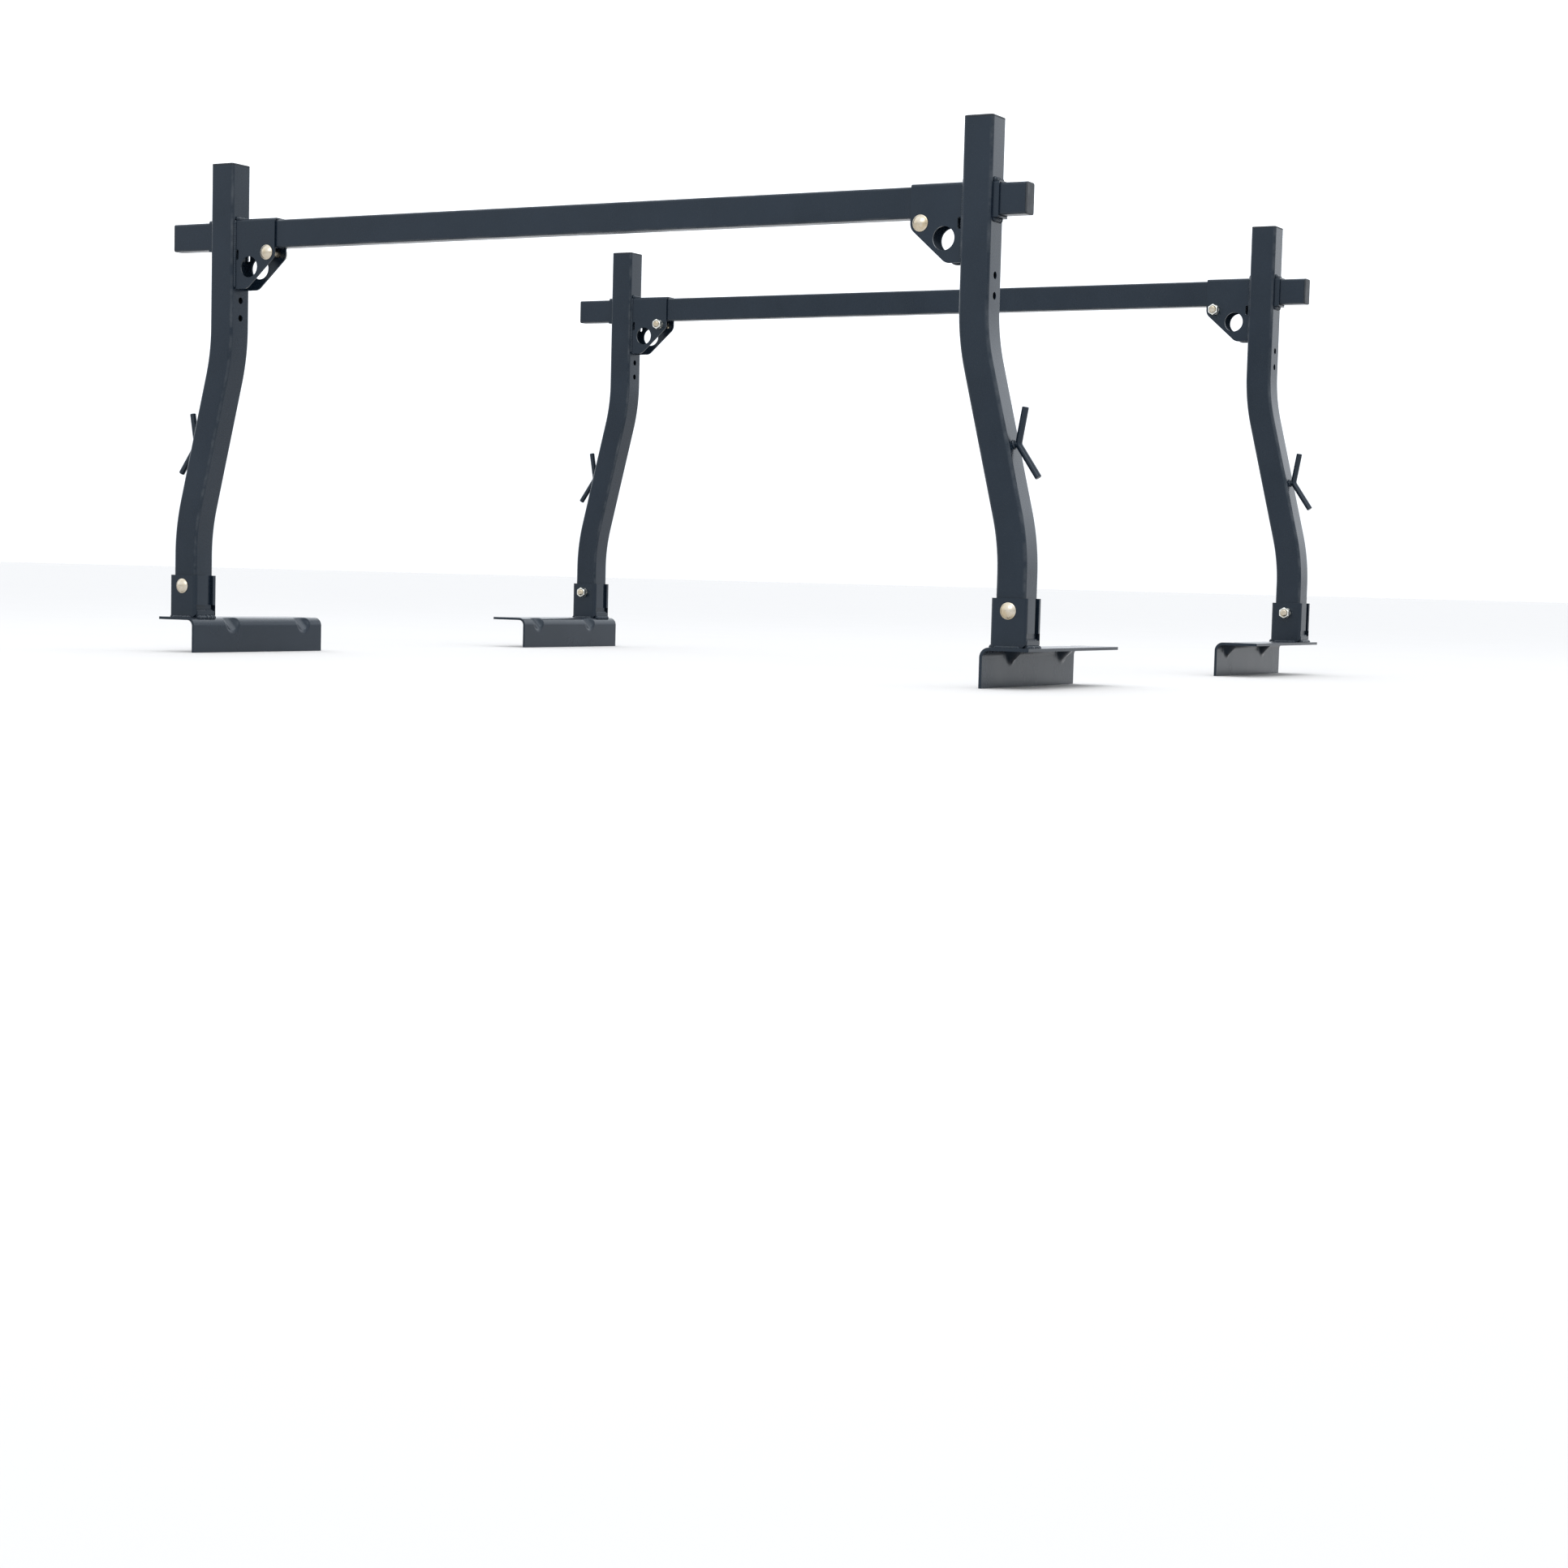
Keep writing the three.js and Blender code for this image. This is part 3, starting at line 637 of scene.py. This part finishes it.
def make_crossbars():
    half_height = (BAR_TOP - BAR_BOTTOM) / 2
    middle_z = (BAR_TOP + BAR_BOTTOM) / 2
    for end in ("rear", "front"):
        node = end + "_crossbar"
        start, stop = span(node, 0)
        centre_y = sum(span(node, 1)) / 2
        stations = [(x, middle_z, -math.pi / 2) for x in (start, stop)]
        rings, wear_and_highlight = tube_rings((half_height, BAR_HALF_DEPTH), BAR_CORNER, stations)
        rings = [[(x, y + centre_y, z) for x, y, z in ring] for ring in rings]
        bar = loft(node + "_visual", rings, closed=True)
        set_wear_and_highlight(bar, wear_and_highlight)
        ride_and_replace(finish_mesh(bar, "black_steel"), end + "_bar", node)
        for side, sign in (("left", -1), ("right", 1)):
            cap_node = f"{node}_{side}_cap"
            cap = plug(cap_node + "_visual", half_height, BAR_HALF_DEPTH, BAR_CORNER)
            tip = span(cap_node, 0)[0 if sign < 0 else 1]
            place = Matrix.Translation(Vector((tip - sign * CAP_LIP, centre_y, middle_z)) * MM)
            cap.data.transform(place @ Matrix.Rotation(sign * math.pi / 2, 4, "Y"))
            finish_mesh(cap, "black_plastic")
            ride_and_replace(cap, end + "_bar", cap_node)


# ---------------------------------------------------------------- folded bracket, sockets, plate


def make_brackets():
    """The sheet's outline and its folded section are crossed, and the result is cut hollow."""
    face_x = TOP_X - POST_HALF - FIT_GAP
    heel = (face_x - GUSSET_HEEL, GUSSET_BOTTOM + GUSSET_CORNER)
    lobe = CLAMP_X - SLEEVE_INNER_END
    slope = math.degrees(math.atan2(CLAMP_Z - heel[1], CLAMP_X - heel[0])) + 90
    above = SLEEVE_TOP + FOLD_RADIUS
    outline = [(SLEEVE_OUTER_END, SLEEVE_BOTTOM), (SLEEVE_OUTER_END, above),
               (SLEEVE_INNER_END, above),
               *arc((CLAMP_X, CLAMP_Z), lobe, 180, slope, GUSSET_LOBE_STEPS),
               *arc(heel, GUSSET_CORNER, slope, 270, GUSSET_CORNER_STEPS),
               (face_x, GUSSET_BOTTOM), (face_x, SLEEVE_BOTTOM)]
    half_depth = SLEEVE_Y + FOLD_RADIUS
    bracket = extrude("bracket", outline, -half_depth, half_depth, along_y)

    fold_z = SLEEVE_TOP - FOLD_RADIUS
    fold_y = SLEEVE_Y - FOLD_RADIUS
    below = GUSSET_BOTTOM - FOLD_RADIUS
    section = [(SLEEVE_Y, below), *arc((fold_y, fold_z), FOLD_RADIUS, 0, 90),
               *arc((-fold_y, fold_z), FOLD_RADIUS, 90, 180), (-SLEEVE_Y, below)]
    inner_end, outer_end = SLEEVE_INNER_END - CUT_MARGIN, SLEEVE_OUTER_END + CUT_MARGIN
    join_or_cut(bracket, "INTERSECT", extrude("folded", section, inner_end, outer_end, along_x))

    floor, ceiling = SLEEVE_BOTTOM + SHEET, SLEEVE_TOP - SHEET
    passage = [(inner_end, below), (face_x, below), (face_x, floor), (outer_end, floor),
               (outer_end, ceiling), (inner_end, ceiling)]
    reach = 2 * SLEEVE_Y
    slot_x, slot_z = RELIEF_SLOT
    slot_end = RELIEF_SLOT_WIDTH / 2
    rise = RELIEF_SLOT_HEIGHT / 2 - slot_end
    slot_outline = (arc((slot_x, slot_z + rise), slot_end, 0, 180)
                    + arc((slot_x, slot_z - rise), slot_end, 180, 360))
    join_or_cut(bracket, "DIFFERENCE",
                extrude("passage", passage, SHEET - SLEEVE_Y, SLEEVE_Y - SHEET, along_y),
                cylinder("tie_hole", TIE_HOLE, TIE_HOLE_RADIUS, -reach, reach, along_y,
                         TIE_HOLE_SIDES),
                extrude("relief_slot", slot_outline, -reach, reach, along_y),
                bolt_hole(CLAMP_X, CLAMP_Z, -reach, reach))
    copy_to_corners(round_edges(bracket), "bar_bracket", "black_steel")


def socket_half(name):
    """A folded channel of the socket. Its web faces -Y and its flanges reach round the post."""
    out, inner = SOCKET_OUT, SOCKET_OUT - SOCKET_WALL
    long_tip, short_tip = SOCKET_LONG_FLANGE - out, SOCKET_SHORT_FLANGE - out
    bend, fillet = out - SOCKET_BEND, SOCKET_BEND - SOCKET_WALL
    outline = [(out, long_tip), (inner, long_tip),
               *arc((inner - fillet, fillet - inner), fillet, 0, -90, FILLET_STEPS),
               *arc((fillet - inner, fillet - inner), fillet, 270, 180, FILLET_STEPS),
               (-inner, short_tip), (-out, short_tip),
               *arc((-bend, -bend), SOCKET_BEND, 180, 270),
               *arc((bend, -bend), SOCKET_BEND, 270, 360)]
    half = extrude(name, outline, SOCKET_BOTTOM, SOCKET_TOP, along_z)
    under, beside = SOCKET_BOTTOM - CUT_MARGIN, out + CUT_MARGIN
    relief = block("relief", (-beside, beside), (-inner, out), (under, PLATE_TOP + SOCKET_RELIEF))
    chamfers = []
    for side in (-1, 1):
        foot = [(side * beside, under),
                (side * beside, SOCKET_BOTTOM + SOCKET_CHAMFER + CUT_MARGIN),
                (side * (out - SOCKET_CHAMFER - CUT_MARGIN), under)]
        chamfers.append(extrude("chamfer", foot, -2 * out, out, along_y))
    hole = bolt_hole(0, POST_BOLT_Z, -2 * out, out)
    return round_edges(join_or_cut(half, "DIFFERENCE", relief, *chamfers, hole))


def make_sockets():
    """Two of the same half at every foot, turned half a turn from each other."""
    copy_to_corners(socket_half("socket_outer"), "socket_outer_half", "black_steel",
                    offset=AT_FOOT)
    inner = socket_half("socket_inner")
    inner.data.transform(Matrix.Rotation(math.pi, 4, "Z"))
    copy_to_corners(inner, "socket_inner_half", "black_steel", offset=AT_FOOT)


def pressed(point, y, radius):
    """Moves a point of the plate inward where a slanting round punch has pressed a dimple."""
    centre = PLATE_BEND_CENTRE
    reach = (PLATE_BEND + DIMPLE_OFFSET) / math.sqrt(2)
    inward = (1 / math.sqrt(2), -1 / math.sqrt(2))
    depth = ((point[0] - centre[0] + reach) * inward[0]
             + (point[1] - centre[1] - reach) * inward[1])
    across = min(abs(y - dimple) for dimple in DIMPLES_Y)
    punch = math.sqrt(max(radius ** 2 - across ** 2, 0))
    blend = min(max(0.5 + 0.5 * (depth - punch) / DIMPLE_BLEND, 0), 1)
    moved = punch + (depth - punch) * blend + DIMPLE_BLEND * blend * (1 - blend) - depth
    return point[0] + moved * inward[0], point[1] + moved * inward[1]


def make_base_plates():
    """The plate's cross-sections are close together at the dimples, and a seat stands on it."""
    centre = PLATE_BEND_CENTRE
    near = [DIMPLE_STEP * k for k in range(1, DIMPLE_STEPS + 1)]
    flat_x = [PLATE_OUTBOARD, *PLATE_TOP_X, *[centre[0] + d for d in reversed(near)]]
    flange_z = [*[centre[1] - d for d in near], *PLATE_FLANGE_Z]

    def profile(inset):
        bend = arc(centre, PLATE_BEND - inset, 90, 180, PLATE_BEND_STEPS)
        return ([(x, PLATE_TOP - inset) for x in flat_x] + bend
                + [(PLATE_INBOARD + inset, z) for z in flange_z])

    dimple_reach = DIMPLE_RADIUS + DIMPLE_WALL + 2 * DIMPLE_BLEND
    count = int(dimple_reach / DIMPLE_STEP_Y)
    rows = {PLATE_BEHIND, PLATE_AHEAD}
    for dimple in DIMPLES_Y:
        rows |= {dimple + DIMPLE_STEP_Y * k for k in range(-count, count + 1)}
    rings = []
    for y in sorted(rows):
        outer = [pressed(p, y, DIMPLE_RADIUS) for p in profile(0)]
        inner = [pressed(p, y, DIMPLE_RADIUS + DIMPLE_WALL) for p in profile(PLATE_THICKNESS)]
        rings.append([(x, y, z) for x, z in outer + inner[::-1]])
    plate = loft("base_plate", rings)
    seat_outline = rounded_rectangle(SOCKET_OUT, SEAT_HALF_Y, SEAT_CORNER, FILLET_STEPS)
    seat = extrude("seat", seat_outline, PLATE_TOP - PLATE_THICKNESS / 2, SEAT_TOP, along_z)
    join_or_cut(plate, "UNION", seat)
    round_edges(plate, sharper_than=PLATE_EDGE_ANGLE)
    copy_to_corners(plate, "base_plate", "black_steel")


# ---------------------------------------------------------------- rope cleats


def rod(name, line):
    """A round rod along stations, with a small chamfer at both ends."""
    first, last = line[0], line[-1]
    tip_radius = ROD_RADIUS - ROD_CHAMFER

    def moved(station, distance):
        x, z, lean = station
        return x - distance * math.sin(lean), z + distance * math.cos(lean), lean

    stations = [(first, tip_radius), (moved(first, ROD_CHAMFER), ROD_RADIUS)]
    stations += [(station, ROD_RADIUS) for station in line[1:-1]]
    stations += [(moved(last, -ROD_CHAMFER), ROD_RADIUS), (last, tip_radius)]
    rings = []
    for (x, z, lean), radius in stations:
        rings.append([(x + u * math.cos(lean), v, z + u * math.sin(lean))
                      for u, v in circle((0, 0), radius, ROD_SIDES)])
    return loft(name, rings)


def post_lean():
    return math.atan2(-TOP_X, UPPER_BEND_Z - LOWER_BEND_Z)


def post_face_x(z):
    """Where the outboard face of the sloping stretch of the post stands at a height."""
    return POST_HALF / math.cos(post_lean()) - math.tan(post_lean()) * (z - LOWER_BEND_Z)


def make_cleats():
    """A rod bent away from the post, on a short stub that is welded to the post's outer face."""
    line = bend_line([CLEAT_FOOT, CLEAT_BEND, CLEAT_TIP], CLEAT_BEND_RADIUS, CLEAT_BEND_STEPS)
    cleat = rod("cleat", line)
    level = -math.pi / 2
    bend_x, bend_z = CLEAT_BEND
    stub = rod("stub", [(post_face_x(bend_z), bend_z, level), (bend_x, bend_z, level)])
    join_or_cut(cleat, "UNION", stub)
    set_wear_and_highlight(cleat, [0.0] * len(cleat.data.vertices))
    copy_to_corners(cleat, "rope_cleat", "black_steel")


# ---------------------------------------------------------------- fasteners, drawn along +Y


def turned(levels, sides=TURNED_SIDES):
    """Rings of a turned shape: levels give (y, radius), where a radius may depend on the angle."""
    rings = []
    for y, radius in levels:
        ring = []
        for k in range(sides):
            angle = 2 * math.pi * k / sides
            r = radius(angle) if callable(radius) else radius
            ring.append((r * math.cos(angle), y, r * math.sin(angle)))
        rings.append(ring)
    return rings


def square(angle):
    """Distance to the edge of the bolt's square neck at an angle, with its corners eased."""
    return min(NECK_HALF / max(abs(math.cos(angle)), abs(math.sin(angle))), NECK_CORNER)


def thread(y, end):
    """The radius of a right-hand thread at y as a function of the angle, tapered at its end."""
    limit = BOLT_RADIUS - max(BOLT_CHAMFER - (end - y), 0)

    def radius(angle):
        phase = (y / THREAD_PITCH + angle / (2 * math.pi)) % 1
        return min(BOLT_RADIUS - THREAD_DEPTH * abs(2 * phase - 1), limit)

    return radius


def make_bolt(name, x, z, half_grip, neck):
    """A carriage bolt. Its head lies on -half_grip and its thread ends past the nut."""
    underside = -half_grip - FIT_GAP
    ball = (DOME_RADIUS ** 2 + DOME_HEIGHT ** 2) / (2 * DOME_HEIGHT)
    spread = math.asin(DOME_RADIUS / ball)
    top = underside - DOME_HEIGHT
    angles = [spread * k / DOME_STEPS for k in range(1, DOME_STEPS)]
    dome = [(top + ball * (1 - math.cos(a)), ball * math.sin(a)) for a in angles]
    rim = [(underside - up, DOME_RADIUS - inward) for up, inward in DOME_RIM]
    levels = [(top + DOME_TIP[0], DOME_TIP[1]), *dome, *rim, (underside, square),
              (underside + neck, square), (underside + neck + NECK_TAPER, BOLT_RADIUS)]
    start, end = half_grip - THREAD_LEAD, local(name, 1)[1]
    steps = int((end - start) / THREAD_PITCH * LEVELS_PER_TURN)
    heights = [start + (end - start) * k / steps for k in range(1, steps + 1)]
    levels += [(start, BOLT_RADIUS)] + [(y, thread(y, end)) for y in heights]
    bolt = loft(name, turned(levels))
    set_wear_and_highlight(bolt, [0.0] * len(bolt.data.vertices))
    copy_to_corners(bolt, name, "zinc_plate", offset=(x, 0, z))


def make_washer(name, x, z):
    """A round washer, worn and given a painted highlight in the middle of its two rounded outer
    edges.
    """
    low = local(name, 1)[0]
    high = low + WASHER_HEIGHT
    bore, outer = BOLT_RADIUS + HOLE_PLAY, WASHER_RADIUS
    edge, worn_and_highlit_edge = WASHER_EDGE, 0.3 * WASHER_EDGE
    levels = [(low, bore + edge), (low, outer - edge), (low + worn_and_highlit_edge, outer - worn_and_highlit_edge),
              (low + edge, outer), (high - edge, outer), (high - worn_and_highlit_edge, outer - worn_and_highlit_edge),
              (high, outer - edge), (high, bore + edge), (high - edge, bore), (low + edge, bore)]
    washer = loft(name, turned(levels), closed=True)
    set_wear_and_highlight(washer, [float(radius == outer - worn_and_highlit_edge) for _, radius in levels
                      for _ in range(TURNED_SIDES)])
    copy_to_corners(washer, name, "zinc_plate", offset=(x, 0, z), finish="clear_zinc")


def make_nut(name, x, z):
    """A hexagon nut with both faces chamfered and a countersunk bore, worn and given a painted
    highlight at its corners.
    """
    low, high = local(name, 1)
    sixth = math.pi / 3

    def hexagon(limit):
        def radius(angle):
            from_flat = (angle + sixth / 2) % sixth - sixth / 2
            return min(NUT_HALF_FLATS / math.cos(from_flat), limit)

        return radius

    spread = NUT_HALF_FLATS / math.cos(sixth / 2) - NUT_FACE_RADIUS
    rise = spread * math.tan(math.radians(NUT_CHAMFER_ANGLE))
    shares = [k / NUT_CHAMFER_STEPS for k in range(NUT_CHAMFER_STEPS + 1)]
    chamfer = [(rise * share, hexagon(NUT_FACE_RADIUS + spread * share)) for share in shares]
    bore, sink = BOLT_RADIUS + HOLE_PLAY, NUT_COUNTERSINK
    levels = [(low, bore + sink)] + [(low + d, r) for d, r in chamfer]
    levels += [(high - d, r) for d, r in reversed(chamfer)]
    levels += [(high, bore + sink), (high - sink, bore), (low + sink, bore)]
    nut = loft(name, turned(levels, NUT_SIDES), closed=True)
    per_flat = NUT_SIDES // 6
    corner = per_flat // 2
    # Corner points are lightened: partly wear, partly a painted highlight.
    set_wear_and_highlight(nut, [float(level in NUT_WORN_AND_HIGHLIT_LEVELS and abs(k % per_flat - corner) <= 1)
                   for level in range(len(levels)) for k in range(NUT_SIDES)])
    copy_to_corners(nut, name, "zinc_plate", offset=(x, 0, z), finish="clear_zinc")


def make_fasteners():
    """Each bolt clamps from -half_grip to half_grip, and its neck fills the first sheet's hole."""
    for place, x, z, half_grip, neck in (("post", 0, POST_BOLT_Z, SOCKET_OUT, SOCKET_WALL),
                                         ("clamp", CLAMP_X, CLAMP_Z, SLEEVE_Y, SHEET)):
        make_bolt(place + "_bolt", x, z, half_grip, neck)
        make_washer(place + "_washer", x, z)
        make_nut(place + "_nut", x, z)


# ---------------------------------------------------------------- welds


def resample(path, spacing, closed):
    """Points at an even spacing along a polyline."""
    points = [Vector(p) for p in path] + ([Vector(path[0])] if closed else [])
    lengths = [(b - a).length for a, b in zip(points, points[1:])]
    count = max(round(sum(lengths) / spacing), 2)
    step = sum(lengths) / count
    result, index, walked = [], 0, 0.0
    for k in range(count if closed else count + 1):
        while index < len(lengths) - 1 and k * step > walked + lengths[index]:
            walked += lengths[index]
            index += 1
        t = min((k * step - walked) / lengths[index], 1)
        result.append(points[index].lerp(points[index + 1], t))
    return result


def weld(piece, path, radius, seed, closed=False):
    """A weld bead along a corner: overlapping ripples, each a little different from the last."""
    points = resample(path, WELD_PITCH / RIPPLE_STEPS, closed)
    draw = random.Random(seed)
    sizes = [draw.uniform(*RIPPLE_SIZES) for _ in range(len(points) // RIPPLE_STEPS + 2)]
    angles = [2 * math.pi * k / WELD_SIDES for k in range(WELD_SIDES)]
    rings = []
    last = len(points) - 1
    for i, point in enumerate(points):
        ahead = points[(i + 1) % len(points)] if closed else points[min(i + 1, last)]
        behind = points[i - 1] if closed or i else points[0]
        along = (ahead - behind).normalized()
        aside = Vector((1, 0, 0)) if abs(along.x) < 0.7 else Vector((0, 1, 0))
        side = along.cross(aside).normalized()
        up = side.cross(along)
        share = i % RIPPLE_STEPS / RIPPLE_STEPS
        size = radius * sizes[i // RIPPLE_STEPS] * (1 - RIPPLE_SHRINK * share ** 1.5)
        if not closed:
            size *= math.sqrt(min(1, (min(i, last - i) + BEAD_TIP_STEP) / BEAD_END_STEPS))
        rings.append([point + size * (math.cos(a) * side + math.sin(a) * up) for a in angles])
    bead = loft(piece, rings, closed=closed)
    # The whole bead is lightened a little: partly wear, partly a painted highlight.
    set_wear_and_highlight(bead, [BEAD_WEAR_AND_HIGHLIGHT] * len(bead.data.vertices))
    copy_to_corners(bead, piece, "black_steel", replaced=False)


def make_welds():
    """The beads of a corner. Those at the sleeve's ends keep clear of the bar inside it."""
    outboard, inboard = TOP_X + POST_HALF, TOP_X - POST_HALF
    across = SLEEVE_Y - SLEEVE_WELD_SETBACK
    clear_of_bar = WELD_RADII["sleeve"] * RIPPLE_SIZES[1] - SHEET
    above, below = SLEEVE_TOP + clear_of_bar, SLEEVE_BOTTOM - clear_of_bar
    for name, x, z in (("sleeve_top", outboard, above), ("sleeve_foot", outboard, below),
                       ("bracket_top", inboard, above)):
        weld(name + "_weld", [(x, -across, z), (x, across, z)], WELD_RADII["sleeve"],
             seed=len(name))
    low, high = GUSSET_BOTTOM + WELD_SETBACK, SLEEVE_TOP - SLEEVE_WELD_SETBACK
    for name, y in (("rear", -SLEEVE_Y), ("front", SLEEVE_Y)):
        weld(f"bracket_{name}_weld", [(inboard, y, low), (inboard, y, high)],
             WELD_RADII["gusset"], seed=len(name))

    bend_z = CLEAT_BEND[1]
    face, slope = post_face_x(bend_z), math.tan(post_lean())
    ring = circle((0, 0), ROD_RADIUS, ROD_SIDES)
    weld("cleat_weld", [(face - slope * v, u, bend_z + v) for u, v in ring],
         WELD_RADII["cleat"], seed=3, closed=True)

    foot_y = POST_HALF - WELD_SETBACK
    for side, name in ((1, "outboard"), (-1, "inboard")):
        seat_x, foot_x = side * SOCKET_OUT, side * (POST_HALF + 1)
        weld(f"seat_{name}_weld",
             [(seat_x, -SEAT_HALF_Y, PLATE_TOP), (seat_x, SEAT_HALF_Y, PLATE_TOP)],
             WELD_RADII["seat"], seed=4 + side)
        weld(f"foot_{name}_weld", [(foot_x, -foot_y, SEAT_TOP), (foot_x, foot_y, SEAT_TOP)],
             WELD_RADII["foot"], seed=6 + side)
    toe = SOCKET_OUT - SOCKET_CHAMFER - WELD_SETBACK
    for side, name in ((-1, "outer"), (1, "inner")):
        y = side * SOCKET_OUT
        weld(f"socket_{name}_weld", [(-toe, y, PLATE_TOP), (toe, y, PLATE_TOP)],
             WELD_RADII["socket"], seed=9 + side)


# ---------------------------------------------------------------- floor, light and camera


def make_floor():
    far = FLOOR_REACH
    floor = mesh_object("floor", [(-far, -far, 0), (far, -far, 0), (far, far, 0), (-far, far, 0)],
                        [(0, 1, 2, 3)])
    material, nodes, links, shader = new_finish("floor")
    tone = remap(nodes, links, noise(nodes, links, 3, 4), 0.3, 0.7)
    links.new(mix_color(nodes, links, tone, (0.58, 0.565, 0.55), (0.59, 0.575, 0.56)),
              shader.inputs["Base Color"])
    shader.inputs["Roughness"].default_value = 0.9
    floor.data.materials.append(material)


def area_light(name, location, target, size, power):
    data = bpy.data.lights.new(name, "AREA")
    data.shape, data.size, data.energy = "SQUARE", size, power
    light = bpy.data.objects.new(name, data)
    light.location = location
    light.rotation_euler = (Vector(target) - Vector(location)).to_track_quat("-Z", "Y").to_euler()
    bpy.context.scene.collection.objects.link(light)


def make_light():
    """A bluish white room, dimmer towards -Y and +X, with soft boxes overhead and at the rear."""
    world = bpy.data.worlds.new("studio")
    bpy.context.scene.world = world
    bpy.context.scene.view_settings.view_transform = "Standard"
    world.use_nodes = True
    nodes, links = world.node_tree.nodes, world.node_tree.links
    direction = nodes.new("ShaderNodeTexCoord")
    split = nodes.new("ShaderNodeSeparateXYZ")
    links.new(direction.outputs["Generated"], split.inputs["Vector"])
    from_behind = remap(nodes, links, split.outputs["Y"], -0.7, 0.5, 0.58, 1.12)
    from_right = remap(nodes, links, split.outputs["X"], 0.45, 0.75, 1.0, 0.55)
    level = math_node(nodes, links, "MULTIPLY", from_behind, from_right)
    overhead = remap(nodes, links, split.outputs["Z"], 0.0, 0.25, 0.0, 0.8)
    strength = math_node(nodes, links, "ADD", level, overhead)
    background = nodes["Background"]
    background.inputs["Color"].default_value = (0.92, 0.955, 1.0, 1)
    links.new(strength, background.inputs["Strength"])
    middle = (0, 0, 0.5)
    area_light("overhead", (0.5, 0.5, 4.5), middle, 2.5, 25)
    area_light("tailgate", (1.5, -3.6, 3.2), middle, 2.0, 45)


def make_camera():
    """The photograph's view: level turned from +Y towards -X, tilted down, rolled a little."""
    turn, tilt, roll = (math.radians(a) for a in (CAMERA_TURN, CAMERA_TILT, CAMERA_ROLL))
    forward = Vector((-math.sin(turn) * math.cos(tilt), math.cos(turn) * math.cos(tilt),
                      -math.sin(tilt)))
    level = Vector((math.cos(turn), math.sin(turn), 0))
    up = level.cross(forward)
    right = level * math.cos(roll) + up * math.sin(roll)
    upright = up * math.cos(roll) - level * math.sin(roll)
    data = bpy.data.cameras.new("camera")
    data.sensor_width, data.lens = SENSOR_WIDTH, FOCAL_LENGTH
    camera = bpy.data.objects.new("camera", data)
    look = Matrix((right, upright, -forward)).transposed().to_4x4()
    camera.matrix_world = Matrix.Translation(CAMERA_PLACE) @ look
    bpy.context.scene.collection.objects.link(camera)
    bpy.context.scene.camera = camera


make_posts()
make_post_caps()
make_crossbars()
make_brackets()
make_sockets()
make_base_plates()
make_cleats()
make_fasteners()
make_welds()
make_floor()
make_light()
make_camera()
